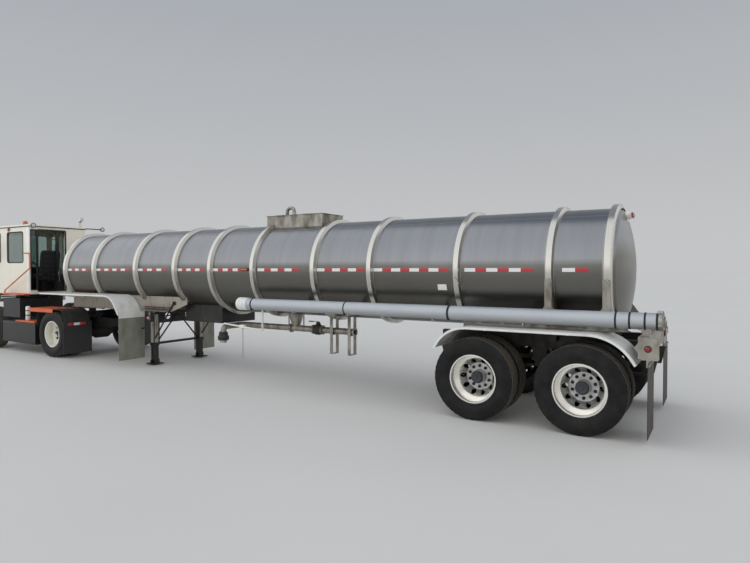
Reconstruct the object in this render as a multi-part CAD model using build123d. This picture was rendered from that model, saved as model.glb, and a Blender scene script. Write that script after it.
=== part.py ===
from build123d import *
import math
import os

# An articulated tank lorry: a frameless stainless tank semi-trailer on a tandem of twin wheels,
# coupled by its kingpin to a two-axle terminal tractor with an offset cab.
# Millimetres. While modelling, X is the distance ahead of the rearmost axle, Y is to the left
# of the middle and Z is up from the ground. save() puts the origin under the middle.

# Trailer tank
TANK_R = 835
TANK_CLEAR = 33
HEAD_DEPTH = 150
HEAD_KNUCKLE = 110
HEAD_SKIRT = 60
REAR_RING_X = -240
# Distances from each stiffener ring to the next one forward, rear to front
BAYS = [710, 1300, 1460, 1110, 1360, 1090, 1010, 1230, 1470, 1130]
RING_BASE = 112
RING_CROWN = 74
RING_HEIGHT = 56
SEAT = 0.3

# Trailer running gear
AXLE_SPREAD = 1365
TRAILER_TYRE_R = 550
TRAILER_RIM_R = 311
AXLE_TUBE_R = 64
SPRING_Y = 483
RAIL_HALF = 45
RAIL_BOTTOM = 940
RAIL_HEIGHT_TRAILER = 170
GUSSET_OUT = 640
HANGER_WIDTH = 76
RING_LEG_HALF = 46
RING_LEG_DROP = 120
GUSSET_HALF = 250
GUSSET_RISE = 350
GUSSET_SHEET = 8

# Tyres and wheels, shared by both vehicles
TYRE_WIDTH = 280
TWIN_PITCH = 332
TRAILER_TRACK_OUT = 1267
FLANGE_RISE = 13
RIM_SHARE = 0.74
RIM_WALL = 9
DISC_WALL = 14
DISC_JOIN = 62
HAND_HOLES = 10
HAND_HOLE_R = 32
HAND_HOLE_INSET = 93
HUB_R = 88
HUB_CAP_DEPTH = 40
DRUM_R = 205
DRUM_WIDTH = 190
DRUM_SHOULDER = 70
DRUM_FACE_INSET = 133
RUN_GAP = 0.5

# Coupling and front subframe
SUBFRAME_REAR = 7700
SUBFRAME_KNEE = 8200
SUBFRAME_FLANGE = 60
KINGPIN_SETBACK = 130
KINGPIN_R = 25.4
KINGPIN_HEAD_R = 35.7
KINGPIN_LENGTH = 84
KINGPIN_COLLAR = 36
COUPLER_Z = 1120
COUPLER_THICK = 12
SUBFRAME_Y = 620
SUBFRAME_PLATE = 10
SUBFRAME_DEPTH = 300
COUPLER_GAP = 0.5

# Landing gear
LEG_X = 8755
LEG_Y = 595
LEG_OUTER = 124
LEG_WALL = 8
LEG_GAP = 0.5
LEG_BOTTOM = 400
FOOT_Z = 22
FOOT_SIZE = 260
TIE_Z = 445
TIE_R = 26
BRACE_R = 16
# The pump box under the tank
PUMP_BOX_REAR = 6890
PUMP_BOX_FRONT = 7950
PUMP_BOX_HALF = 450
PUMP_BOX_LOW = 950

# Fenders and flaps of the trailer
FENDER_IN = 645
FENDER_OUT = 1270
FENDER_CLEAR = 6
FENDER_SHEET = 5
FENDER_LIP = 28
FRONT_FENDER_TOP = 1470
FRONT_FENDER_LEAD = 11970
REAR_FENDER_ABOVE_TYRE = 140
FLAP_THICK = 8
FRONT_FLAP_X = 9000
REAR_FLAP_X = -745
STAY_R = 20

# Rear light beam, and the lamp plate at its left end
BEAM_REAR = -745
BEAM_FRONT = -640
BEAM_HALF = 1240
BEAM_BOTTOM = 985
BEAM_TOP = 1235
BEAM_LAMP_Z = 1110
LAMP_R = 57
LAMP_POCKET = 24
TAIL_LAMP_YS = [1090, 950, 810]
LAMP_PLATE_REAR = -860
LAMP_PLATE_FRONT = -600
LAMP_PLATE_THICK = 12

# Hose tube on the left
HOSE_R = 100
HOSE_WALL = 4
HOSE_OFF_RING = 9
HOSE_ABOVE_FENDER = 60
HOSE_REAR = -873.7
HOSE_FRONT = 5860
HOSE_ARM_AHEAD = 280
HOSE_SADDLE_HALF = 60
CAP_DEPTH = 26
CAP_HINGE_UP = 16

# Spill box and manhole on top
SPILL_REAR = 4550
SPILL_FRONT = 5830
SPILL_HALF = 320
SPILL_RISE = 165
SPILL_WALL = 6
MANHOLE_X = 5060
MANHOLE_R = 255
MANHOLE_RISE = 90
MANHOLE_WALL = 6
MANHOLE_WELL = 260
LID_THICK = 14
LID_HINGE_OUT = 48
VENT_X = 5560
VENT_RISE = 325

# Ladder on the right and the piping below
LADDER_X = 6250
LADDER_HALF = 200
LADDER_OFF_TANK = 195
LADDER_RAIL_R = 17
RUNG_R = 13
LADDER_FOOT = 760
LADDER_PITCH = 300
SUMP_X = 5400
LINE_Z = 900
LINE_R = 57
LINE_STUB = 75
LINE_TEE = 112
POST_FOOT = 490
POST_HALF = 85
POST_SHEET = 10
OUTLET_X = 4080
BRANCH_X = 6790
# Outlet flange of a four inch line, as tank lorries have it
FLANGE_R = 84
FLANGE_THICK = 13
FLANGE_CIRCLE = 149.2
FLANGE_HOLE_R = 5.6
FLANGE_BOLTS = 8
BORE_R = 50.8
BORE_DEPTH = 120

# Terminal tractor
DRIVE_AHEAD_OF_KINGPIN = 100
WHEELBASE = 2950
TRACTOR_TYRE_R = 525
TRACTOR_RIM_R = 286
DRIVE_TRACK_OUT = 1222
STEER_TYRE_Y = 1020
STEER_PIVOT_Y = 850
RAIL_OUT = 430
RAIL_WEB = 10
RAIL_FLANGE = 80
RAIL_TOP = 880
RAIL_HEIGHT = 230
FRAME_BEHIND_DRIVE = 970
FRAME_AHEAD_STEER = 790
PIVOT_R = 20
PIVOT_GAP = 0.05
SPINDLE_R = 38
STEER_DISC = 40
BOOM_TOP = 1010
BOOM_PIVOT_Z = 790
BOX_OUT = 1170
BOX_CLEAR = 670
ARCH_CLEAR = 46
ARCH_STAY_R = 12
ARCH_IN = 640
ARCH_OUT = 1226
ARCH_SHEET = 6
DECK_SHEET = 6
DECK_IN = 700
DECK_LIP = 84
ENGINE_LENGTH = 1120
ENGINE_HALF = 330
ENGINE_LOW = 640
ENGINE_TOP = 1300
HOOD_BOTTOM = 1130
HOOD_TOP = 1980
GRILLE_SLOTS = 8
EXHAUST_TOP = 3360
WHEEL_RIM_R = 215
WHEEL_GRIP_R = 15

# Cab
CAB_REAR_AHEAD_OF_DRIVE = 1350
CAB_LENGTH = 1750
CAB_LEFT = 980
CAB_RIGHT = -450
CAB_WALL = 35
CAB_FLOOR_UNDER = 1400
CAB_FLOOR_TOP = 1450
CAB_ROOF_UNDER = 3075
CAB_ROOF_TOP = 3112
RISER_BEAM = 60
RISER_INSET = 150
DOOR_LEFT = 780
DOOR_RIGHT = 100
DOOR_LEAF = 720
DOOR_TRAVEL = 490
DOOR_GAP = 6
DOOR_SILL = 1885
DOOR_STILE = 70
CAB_CORNER = 30
GLASS = 6
# Side windows: from and to, ahead of the cab's rear face
SIDE_WINDOWS = [(300, 1060), (1400, CAB_LENGTH - 110)]
WINDOW_SILL = 2180
WINDOW_HEAD = 2935
WINDSCREEN_SILL = 2060
WINDOW_CORNER = 60

# What follows from the sizes above
TANK_Z = COUPLER_Z + COUPLER_THICK + TANK_CLEAR + TANK_R
RING_R = TANK_R + RING_HEIGHT
LEG_TOP = COUPLER_Z + COUPLER_THICK - SEAT
FRONT_FENDER_IN = math.sqrt(RING_R**2 - (TANK_Z - FRONT_FENDER_TOP) ** 2) + FENDER_CLEAR
REAR_FENDER_TOP = 2 * TRAILER_TYRE_R + REAR_FENDER_ABOVE_TYRE
HOSE_Y = RING_R + HOSE_OFF_RING + HOSE_R
HOSE_Z = REAR_FENDER_TOP + HOSE_ABOVE_FENDER + HOSE_R
SPILL_TOP = TANK_Z + TANK_R + SPILL_RISE
MANHOLE_TOP = TANK_Z + TANK_R + MANHOLE_RISE
VENT_TOP = TANK_Z + TANK_R + VENT_RISE
LADDER_Y = TANK_R + LADDER_OFF_TANK
DECK_Z = 2 * TRACTOR_TYRE_R + ARCH_CLEAR + ARCH_SHEET / 2 + SEAT + DECK_SHEET
RING_XS = [REAR_RING_X]
for bay in BAYS:
    RING_XS.append(RING_XS[-1] + bay)
FRONT_RING_X = RING_XS[-1]
KINGPIN_X = FRONT_RING_X - KINGPIN_SETBACK
DRIVE_X = KINGPIN_X + DRIVE_AHEAD_OF_KINGPIN
STEER_X = DRIVE_X + WHEELBASE
CAB_REAR = DRIVE_X + CAB_REAR_AHEAD_OF_DRIVE
CAB_FRONT = CAB_REAR + CAB_LENGTH
FRAME_REAR = DRIVE_X - FRAME_BEHIND_DRIVE
FRAME_FRONT = STEER_X + FRAME_AHEAD_STEER
BUMPER_FRONT = FRAME_FRONT + 110
BOOM_PIVOT_X = DRIVE_X + 1060
ENGINE_REAR = CAB_REAR + 900
TAIL_X = HOSE_REAR - SEAT - CAP_DEPTH
MIDDLE_X = (BUMPER_FRONT + TAIL_X) / 2
SIDES = [("left", 1), ("right", -1)]


# Shapes
def block(x0, x1, y0, y1, z0, z1):
    """A box between three pairs of limits."""
    return Pos((x0 + x1) / 2, (y0 + y1) / 2, (z0 + z1) / 2) * Box(x1 - x0, y1 - y0, z1 - z0)


def side_plate(outline, y0, y1):
    """An outline of (x, z) points carried across from y0 to y1."""
    plane = Plane(origin=(0, y1, 0), x_dir=(1, 0, 0), z_dir=(0, -1, 0))
    return extrude(plane * make_face(Polyline(*outline, close=True)), y1 - y0)


def cross_plate(outline, x0, x1):
    """An outline of (y, z) points carried along from x0 to x1."""
    plane = Plane(origin=(x0, 0, 0), x_dir=(0, 1, 0), z_dir=(1, 0, 0))
    return extrude(plane * make_face(Polyline(*outline, close=True)), x1 - x0)


def flat_plate(outline, z0, z1):
    """An outline of (x, y) points carried up from z0 to z1."""
    return extrude(Pos(0, 0, z0) * make_face(Polyline(*outline, close=True)), z1 - z0)


def rod(start, end, radius):
    """A round bar between two points."""
    run = Vector(*end) - Vector(*start)
    plane = Plane(origin=start, z_dir=run)
    return Solid.make_cylinder(radius, run.length, plane)


def bent_rod(points, bend, radius):
    """A round bar bent at each corner."""
    path = FilletPolyline(*points, radius=bend)
    return sweep(Plane(origin=path @ 0, z_dir=path % 0) * Circle(radius), path=path)


def turned_along_x(profile):
    """Revolve (x, radius) points about the tank's axis."""
    face = Plane.XZ * make_face(Polyline(*profile, close=True))
    return Pos(0, 0, TANK_Z) * revolve(face, Axis.X)


def turned_along_y(profile, x, z):
    """Revolve (y, radius) points about a wheel's axis at (x, z)."""
    face = Plane.YZ * make_face(Polyline(*profile, close=True))
    return Pos(x, 0, z) * revolve(face, Axis.Y)


def mirrored(shape):
    """The same piece on the other side of the middle."""
    return mirror(shape, about=Plane.XZ)


def both(shape):
    """A piece with its mirror image."""
    return [shape, mirrored(shape)]


def tank_room():
    """The space that the tank fills, for cutting saddles."""
    length = FRONT_RING_X - REAR_RING_X + 2 * (HEAD_SKIRT + HEAD_DEPTH)
    middle = (FRONT_RING_X + REAR_RING_X) / 2
    return Pos(middle, 0, TANK_Z) * Rot(0, 90, 0) * Cylinder(TANK_R + SEAT, length)


def save(name, pieces):
    """Write one node, moved so that the origin is under the middle of the vehicle."""
    solids = []
    for piece in pieces:
        solids.extend(piece.solids())
    moved = [Pos(-MIDDLE_X, 0, 0) * solid for solid in solids]
    export_step(Compound(children=moved), f"parts/{name}.step")


# Tank
def tank_shell():
    rear = REAR_RING_X - HEAD_SKIRT
    front = FRONT_RING_X + HEAD_SKIRT
    crown = (TANK_R**2 + HEAD_DEPTH**2) / (2 * HEAD_DEPTH)
    half = TANK_R / 2
    bulge = HEAD_DEPTH - (crown - math.sqrt(crown**2 - half**2))
    outline = [
        Line((rear - HEAD_DEPTH, 0), (front + HEAD_DEPTH, 0)),
        ThreePointArc((front + HEAD_DEPTH, 0), (front + bulge, half), (front, TANK_R)),
        Line((front, TANK_R), (rear, TANK_R)),
        ThreePointArc((rear, TANK_R), (rear - bulge, half), (rear - HEAD_DEPTH, 0)),
    ]
    tank = Pos(0, 0, TANK_Z) * revolve(Plane.XZ * make_face(outline), Axis.X)
    rims = [e for e in tank.edges().filter_by(GeomType.CIRCLE) if e.radius > TANK_R - 1]
    tank = fillet(rims, HEAD_KNUCKLE)
    top = TANK_Z + TANK_R
    well = Pos(MANHOLE_X, 0, top - MANHOLE_WELL) * Cylinder(
        MANHOLE_R, 2 * MANHOLE_WELL, align=(Align.CENTER, Align.CENTER, Align.MIN)
    )
    return [tank - well]


def ring(x):
    """One hat-section stiffener."""
    inner = TANK_R + SEAT
    outer = RING_R
    base = RING_BASE / 2
    crown = RING_CROWN / 2
    return turned_along_x([(x - base, inner), (x - crown, outer), (x + crown, outer), (x + base, inner)])


def ring_room(stations):
    """The space of the rings at some stations, with a seat gap, for cutting what stands round them."""
    inner = TANK_R - 20
    outer = RING_R + SEAT
    base = RING_BASE / 2 + SEAT
    room = None
    for x in stations:
        one = turned_along_x([(x - base, inner), (x - base, outer), (x + base, outer), (x + base, inner)])
        room = one if room is None else room + one
    return room


def stiffener_rings():
    rings = []
    for x in RING_XS:
        whole = ring(x)
        if x > SUBFRAME_REAR:
            half = SUBFRAME_Y + SUBFRAME_PLATE + 2
            whole -= block(x - RING_BASE, x + RING_BASE, -half, half, COUPLER_Z - RING_BASE, TANK_Z)
        if SPILL_REAR < x < SPILL_FRONT:
            half = SPILL_HALF + 2
            whole -= block(x - RING_BASE, x + RING_BASE, -half, half, TANK_Z, SPILL_TOP)
        rings.append(whole)
    return rings


# Trailer frames
def front_subframe():
    """Two side plates with turned-out flanges, and the plates across between them."""
    top = TANK_Z - SUBFRAME_DEPTH
    low = COUPLER_Z + COUPLER_THICK
    front = FRONT_RING_X + RING_BASE / 2
    outline = [(SUBFRAME_REAR, low + 170), (SUBFRAME_KNEE, low), (front, low), (front, top), (SUBFRAME_REAR, top)]
    half = SUBFRAME_PLATE / 2
    side = side_plate(outline, SUBFRAME_Y - half, SUBFRAME_Y + half)
    side += block(SUBFRAME_KNEE + 80, front, SUBFRAME_Y, SUBFRAME_Y + SUBFRAME_FLANGE, low, low + SUBFRAME_PLATE)
    pieces = both(side - tank_room())
    edge = SUBFRAME_Y - half - SEAT
    for x in [x for x in RING_XS if x > LEG_X] + [LEG_X]:
        pieces.append(block(x - half, x + half, -edge, edge, low, top) - tank_room())
    return pieces


def upper_coupler():
    plate = flat_plate(
        [
            (KINGPIN_X - 560, -SUBFRAME_Y),
            (KINGPIN_X - 560, SUBFRAME_Y),
            (KINGPIN_X + 150, SUBFRAME_Y),
            (KINGPIN_X + 330, 330),
            (KINGPIN_X + 330, -330),
            (KINGPIN_X + 150, -SUBFRAME_Y),
        ],
        COUPLER_Z,
        COUPLER_Z + COUPLER_THICK,
    )
    head = 12
    pin = Pos(KINGPIN_X, 0, COUPLER_Z - KINGPIN_LENGTH) * Cylinder(
        KINGPIN_R, KINGPIN_LENGTH, align=(Align.CENTER, Align.CENTER, Align.MIN)
    )
    pin += Pos(KINGPIN_X, 0, COUPLER_Z - KINGPIN_LENGTH) * Cylinder(
        KINGPIN_HEAD_R, head, align=(Align.CENTER, Align.CENTER, Align.MIN)
    )
    pin += Pos(KINGPIN_X, 0, COUPLER_Z - KINGPIN_COLLAR) * Cylinder(
        KINGPIN_HEAD_R, KINGPIN_COLLAR, align=(Align.CENTER, Align.CENTER, Align.MIN)
    )
    return [plate + pin]


def ring_leg(x, rail_top):
    """A rear ring's side carried straight down past the tank to the rail, with gusset plates at its foot."""
    foot = REAR_FENDER_TOP + FENDER_CLEAR
    leg = cross_plate(
        [
            (SPRING_Y, rail_top - 60),
            (GUSSET_OUT, rail_top - 60),
            (GUSSET_OUT, foot),
            (RING_R, foot),
            (RING_R, TANK_Z - RING_LEG_DROP),
            (SPRING_Y, TANK_Z - RING_LEG_DROP),
        ],
        x - RING_LEG_HALF,
        x + RING_LEG_HALF,
    )
    outer = RING_R - GUSSET_SHEET
    return leg + side_plate(
        [(x - GUSSET_HALF, foot), (x + GUSSET_HALF, foot), (x, foot + GUSSET_RISE)], outer - GUSSET_SHEET, outer
    )


def rear_subframe():
    rear = BEAM_FRONT + SEAT
    front = AXLE_SPREAD + 760
    rail_top = RAIL_BOTTOM + RAIL_HEIGHT_TRAILER
    saddle_top = TANK_Z - TANK_R / 2
    stations = RING_XS[:3]
    saddle = [
        (stations[0], RAIL_BOTTOM),
        (stations[2] + 40, RAIL_BOTTOM),
        (stations[2] + 40, saddle_top),
        (stations[0], saddle_top),
    ]
    half = SUBFRAME_PLATE / 2
    frame = block(rear, front, SPRING_Y - RAIL_HALF, SPRING_Y + RAIL_HALF, RAIL_BOTTOM, rail_top)
    frame += side_plate(saddle, SPRING_Y - half, SPRING_Y + half)
    for x in stations[:2]:
        frame += ring_leg(x, rail_top)
    frame += mirrored(frame)
    for x in stations:
        frame += block(x - half, x + half, -SPRING_Y, SPRING_Y, RAIL_BOTTOM + 20, saddle_top)
    return [frame - tank_room() - ring_room(stations)]


def suspension():
    """Hangers, leaf packs and equalizers under the rails, in the order rear to front."""
    pieces = []
    axle_z = TRAILER_TYRE_R
    seat = axle_z + AXLE_TUBE_R + SEAT
    leaf_top = seat + 90
    hanger_xs = [-AXLE_SPREAD / 2, AXLE_SPREAD / 2, AXLE_SPREAD * 1.5]
    half = HANGER_WIDTH / 2
    for side in (1, -1):
        y = side * SPRING_Y
        for x in hanger_xs:
            foot = leaf_top + SEAT
            outline = [(x - 55, foot), (x + 55, foot), (x + 110, RAIL_BOTTOM), (x - 110, RAIL_BOTTOM)]
            pieces.append(side_plate(outline, y - half, y + half))
        for axle_x in (0, AXLE_SPREAD):
            reach = AXLE_SPREAD / 2 - 20
            leaf = side_plate(
                [
                    (axle_x - reach, leaf_top - 24),
                    (axle_x - 90, seat),
                    (axle_x + 90, seat),
                    (axle_x + reach, leaf_top - 24),
                    (axle_x + reach, leaf_top),
                    (axle_x + 90, leaf_top - 20),
                    (axle_x - 90, leaf_top - 20),
                    (axle_x - reach, leaf_top),
                ],
                y - half + 1,
                y + half - 1,
            )
            pieces.append(leaf)
    return pieces


def trailer_axles():
    axles = []
    reach = TRAILER_TRACK_OUT - (TYRE_WIDTH + TWIN_PITCH) / 2 - HUB_CAP_DEPTH
    for x in (0, AXLE_SPREAD):
        axles.append(rod((x, -reach, TRAILER_TYRE_R), (x, reach, TRAILER_TYRE_R), AXLE_TUBE_R))
    return axles


# Wheels
def tyre(x, z, outer, bead, middle):
    """A tyre about its own middle plane: tread, shoulders, sidewalls and beads."""
    half = TYRE_WIDTH / 2
    seat = half * RIM_SHARE - SEAT
    shoulder = outer - 34
    profile = [
        (middle - half * 0.72, outer - 8),
        (middle - half * 0.60, outer),
        (middle + half * 0.60, outer),
        (middle + half * 0.72, outer - 8),
        (middle + half * 0.90, shoulder),
        (middle + half, (outer + bead) / 2 + 8),
        (middle + half * 0.93, bead + 52),
        (middle + seat, bead + FLANGE_RISE + 4),
        (middle + seat, bead + SEAT),
        (middle - seat, bead + SEAT),
        (middle - seat, bead + FLANGE_RISE + 4),
        (middle - half * 0.93, bead + 52),
        (middle - half, (outer + bead) / 2 + 8),
        (middle - half * 0.90, shoulder),
    ]
    return turned_along_y(profile, x, z)


def wheel(x, z, bead, middle, disc, side):
    """A dished disc wheel. disc is the y of the mounting face and side is its outward sign."""
    half = TYRE_WIDTH * RIM_SHARE / 2
    flange = 14
    inner = bead - RIM_WALL
    rim = turned_along_y(
        [
            (middle - half - flange, bead + FLANGE_RISE),
            (middle - half, bead + FLANGE_RISE),
            (middle - half, bead),
            (middle + half, bead),
            (middle + half, bead + FLANGE_RISE),
            (middle + half + flange, bead + FLANGE_RISE),
            (middle + half + flange, bead - 4),
            (middle + half - 10, inner),
            (middle - half + 10, inner),
            (middle - half - flange, bead - 4),
        ],
        x,
        z,
    )
    wall = side * DISC_WALL
    circle = bead - HAND_HOLE_INSET
    rise = side * (abs(middle - disc) - DISC_JOIN)
    plate = turned_along_y(
        [
            (disc, HUB_R + 3),
            (disc, circle - 26),
            (disc + rise, inner - 34),
            (disc + rise, inner + 2),
            (disc + rise + wall, inner + 2),
            (disc + rise + wall, inner - 40),
            (disc + wall, circle - 34),
            (disc + wall, HUB_R + 3),
        ],
        x,
        z,
    )
    for k in range(HAND_HOLES):
        angle = 2 * math.pi * k / HAND_HOLES
        cx = x + circle * math.cos(angle)
        cz = z + circle * math.sin(angle)
        plate -= rod((cx, disc - side * 20, cz), (cx, disc + rise + wall + side * 10, cz), HAND_HOLE_R)
    return rim + plate


def hub(x, z, bead, face, side, depth):
    """The hub and drum behind a wheel, with its nose in front. face is the outermost disc's front."""
    back = face - side * (depth + DRUM_WIDTH)
    step = face - side * depth
    return turned_along_y(
        [
            (back, AXLE_TUBE_R + RUN_GAP),
            (back, DRUM_R),
            (step - side * DRUM_SHOULDER, DRUM_R),
            (step, bead - DRUM_FACE_INSET),
            (step, HUB_R),
            (face + side * 70, HUB_R),
            (face + side * 95, HUB_R - 28),
            (face + side * 95, 20),
            (face - side * HUB_CAP_DEPTH / 2, 20),
            (face - side * HUB_CAP_DEPTH / 2, AXLE_TUBE_R + RUN_GAP),
        ],
        x,
        z,
    )


def twin_wheels(prefix, x, outer, bead, track_out, side):
    """Two tyres and wheels back to back on one hub."""
    z = outer
    out_mid = side * (track_out - TYRE_WIDTH / 2)
    in_mid = out_mid - side * TWIN_PITCH
    face = (out_mid + in_mid) / 2
    save(f"{prefix}_tyres", [tyre(x, z, outer, bead, out_mid), tyre(x, z, outer, bead, in_mid)])
    outer_wheel = wheel(x, z, bead, out_mid, face + side * SEAT / 2, side)
    inner_wheel = wheel(x, z, bead, in_mid, face - side * SEAT / 2, -side)
    save(f"{prefix}_wheels", [outer_wheel, inner_wheel, hub(x, z, bead, face + side * DISC_WALL, side, 2 * DISC_WALL + 1)])


def steer_wheel(prefix, side):
    middle = side * STEER_TYRE_Y
    face = middle + side * STEER_DISC
    z = TRACTOR_TYRE_R
    save(f"{prefix}_tyre", [tyre(STEER_X, z, TRACTOR_TYRE_R, TRACTOR_RIM_R, middle)])
    disc = wheel(STEER_X, z, TRACTOR_RIM_R, middle, face, side)
    save(f"{prefix}_wheel", [disc, steer_hub(side)])


# Fenders, flaps and the rear end of the trailer
def fender(points, bends, inner):
    """A bent sheet with a turned-down outer lip."""
    middle = (inner + FENDER_OUT) / 2
    path = FilletPolyline(*[(x, middle, z) for x, z in points], radius=bends)
    plane = Plane(origin=path @ 0, x_dir=(0, 1, 0), z_dir=path % 0)
    sheet = sweep(plane * Rectangle(FENDER_OUT - inner, FENDER_SHEET), path=path)
    edge_y = (FENDER_OUT - inner) / 2
    lip = plane * Pos(edge_y - FENDER_SHEET / 2, -side_of(plane) * FENDER_LIP / 2) * Rectangle(
        FENDER_SHEET, FENDER_LIP
    )
    return sheet + sweep(lip, path=path)


def side_of(plane):
    """1 where the plane's own Y points up, else -1."""
    return 1 if plane.y_dir.Z > 0 else -1


def front_fenders():
    top = FRONT_FENDER_TOP - FENDER_SHEET / 2
    heel = FRONT_FLAP_X + 10
    points = [(FRONT_FENDER_LEAD, top), (heel + 270, top), (heel, top - 387)]
    piece = fender(points, 420, FRONT_FENDER_IN)
    foot = SUBFRAME_Y + SUBFRAME_PLATE / 2 + SEAT
    bracket = [
        (foot, top - 137),
        (FENDER_OUT - 60, top - 40),
        (FENDER_OUT - 60, top),
        (FRONT_FENDER_IN, top),
        (foot, top - 47),
    ]
    for x in (FRONT_FENDER_LEAD - 700, FRONT_FENDER_LEAD - 2000):
        piece += cross_plate(bracket, x - 4, x + 4)
    return both(piece - ring_room([x for x in RING_XS if x > FRONT_FLAP_X]))


def rear_fenders():
    top = REAR_FENDER_TOP - FENDER_SHEET / 2
    points = [(AXLE_SPREAD + 575, top - 310), (AXLE_SPREAD + 395, top), (-420, top), (-630, top - 330)]
    piece = fender(points, [520, 600], FENDER_IN)
    foot = SPRING_Y + SUBFRAME_PLATE / 2 + SEAT
    drop = top - FENDER_SHEET / 2 - STAY_R + 2
    for x in (150, AXLE_SPREAD - 150):
        piece += rod((x, foot, drop), (x, FENDER_OUT - 60, drop), STAY_R)
    return both(piece - ring_room(RING_XS[:3]))


def mud_flaps():
    face = FRONT_FLAP_X + 7.6
    front = block(face - FLAP_THICK, face, FENDER_IN + 15, FENDER_OUT - 5, 140, 1130)
    rear = block(REAR_FLAP_X - FLAP_THICK, REAR_FLAP_X, FENDER_IN + 15, FENDER_OUT - 5, 70, BEAM_BOTTOM - 60)
    return both(front) + both(rear)


def rear_bumper():
    """The light beam across the tail, its flap hangers, the left lamp plate and the hose tube's saddle."""
    beam = block(BEAM_REAR, BEAM_FRONT, -BEAM_HALF, BEAM_HALF, BEAM_BOTTOM, BEAM_TOP)
    hanger = BEAM_BOTTOM + 5
    for side in (1, -1):
        for y in TAIL_LAMP_YS:
            beam -= rod((BEAM_REAR - 1, side * y, BEAM_LAMP_Z), (BEAM_REAR + LAMP_POCKET, side * y, BEAM_LAMP_Z), LAMP_R)
        low, high = sorted((side * (FENDER_IN + 15), side * (FENDER_OUT - 5)))
        beam += block(REAR_FLAP_X + SEAT, REAR_FLAP_X + 14, low, high, BEAM_BOTTOM - 90, hanger)
    knee = LAMP_PLATE_FRONT - 90
    plate = side_plate(
        [
            (LAMP_PLATE_FRONT, BEAM_LAMP_Z),
            (knee, BEAM_TOP),
            (LAMP_PLATE_REAR, BEAM_TOP),
            (LAMP_PLATE_REAR, hanger + SEAT),
            (knee, hanger + SEAT),
        ],
        BEAM_HALF + SEAT,
        BEAM_HALF + SEAT + LAMP_PLATE_THICK,
    )
    half = HOSE_SADDLE_HALF
    saddle = block(BEAM_REAR, BEAM_FRONT - 20, HOSE_Y - half, HOSE_Y + half, BEAM_TOP + SEAT, HOSE_Z - half)
    saddle -= rod((BEAM_REAR - 1, HOSE_Y, HOSE_Z), (BEAM_FRONT, HOSE_Y, HOSE_Z), HOSE_R + SEAT)
    return [beam, plate, saddle]


def tail_lamps():
    lamps = []
    for side in (1, -1):
        for y in TAIL_LAMP_YS:
            lamps.append(
                rod(
                    (BEAM_REAR - 14, side * y, BEAM_LAMP_Z),
                    (BEAM_REAR + LAMP_POCKET - SEAT, side * y, BEAM_LAMP_Z),
                    LAMP_R - SEAT,
                )
            )
    return lamps


# Hose tube
def hose_tube():
    outer = rod((HOSE_REAR, HOSE_Y, HOSE_Z), (HOSE_FRONT, HOSE_Y, HOSE_Z), HOSE_R)
    bore = rod((HOSE_REAR - 1, HOSE_Y, HOSE_Z), (HOSE_FRONT - 8, HOSE_Y, HOSE_Z), HOSE_R - HOSE_WALL)
    pieces = [outer - bore]
    hinge = HOSE_Z + HOSE_R + CAP_HINGE_UP
    lug = block(HOSE_REAR, HOSE_REAR + 60, HOSE_Y - 30, HOSE_Y - 12, HOSE_Z + HOSE_R - 6, hinge + 10)
    lug += block(HOSE_REAR, HOSE_REAR + 60, HOSE_Y + 12, HOSE_Y + 30, HOSE_Z + HOSE_R - 6, hinge + 10)
    pieces[0] += lug - bore
    for x in (ring_x + HOSE_ARM_AHEAD for ring_x in RING_XS[1:5]):
        arm = cross_plate(
            [
                (560, HOSE_Z - 60),
                (HOSE_Y, HOSE_Z - HOSE_R - 26),
                (HOSE_Y + 60, HOSE_Z - HOSE_R - 20),
                (HOSE_Y, HOSE_Z),
                (560, HOSE_Z + 60),
            ],
            x - 5,
            x + 5,
        )
        arm -= rod((x - 60, HOSE_Y, HOSE_Z), (x + 60, HOSE_Y, HOSE_Z), HOSE_R + SEAT)
        pieces.append(arm - tank_room())
    return pieces


def hose_tube_cap():
    hinge = HOSE_Z + HOSE_R + CAP_HINGE_UP
    back = HOSE_REAR - SEAT
    cap = rod((back - 12, HOSE_Y, HOSE_Z), (back, HOSE_Y, HOSE_Z), HOSE_R + 6)
    cap += rod((back - CAP_DEPTH, HOSE_Y, HOSE_Z), (back - 12, HOSE_Y, HOSE_Z), HOSE_R - 40)
    cap += block(back - 12, back, HOSE_Y - 10, HOSE_Y + 10, HOSE_Z + HOSE_R - 10, hinge)
    cap += rod((back - 6, HOSE_Y - 10, hinge), (back - 6, HOSE_Y + 10, hinge), 6)
    return [cap]


# Landing gear
def pump_box():
    """The black box that hangs under the tank ahead of the piping."""
    high = TANK_Z - math.sqrt((TANK_R + SEAT) ** 2 - PUMP_BOX_HALF**2)
    box = block(PUMP_BOX_REAR, PUMP_BOX_FRONT, -PUMP_BOX_HALF, PUMP_BOX_HALF, PUMP_BOX_LOW, high)
    return box - tank_room()


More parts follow.
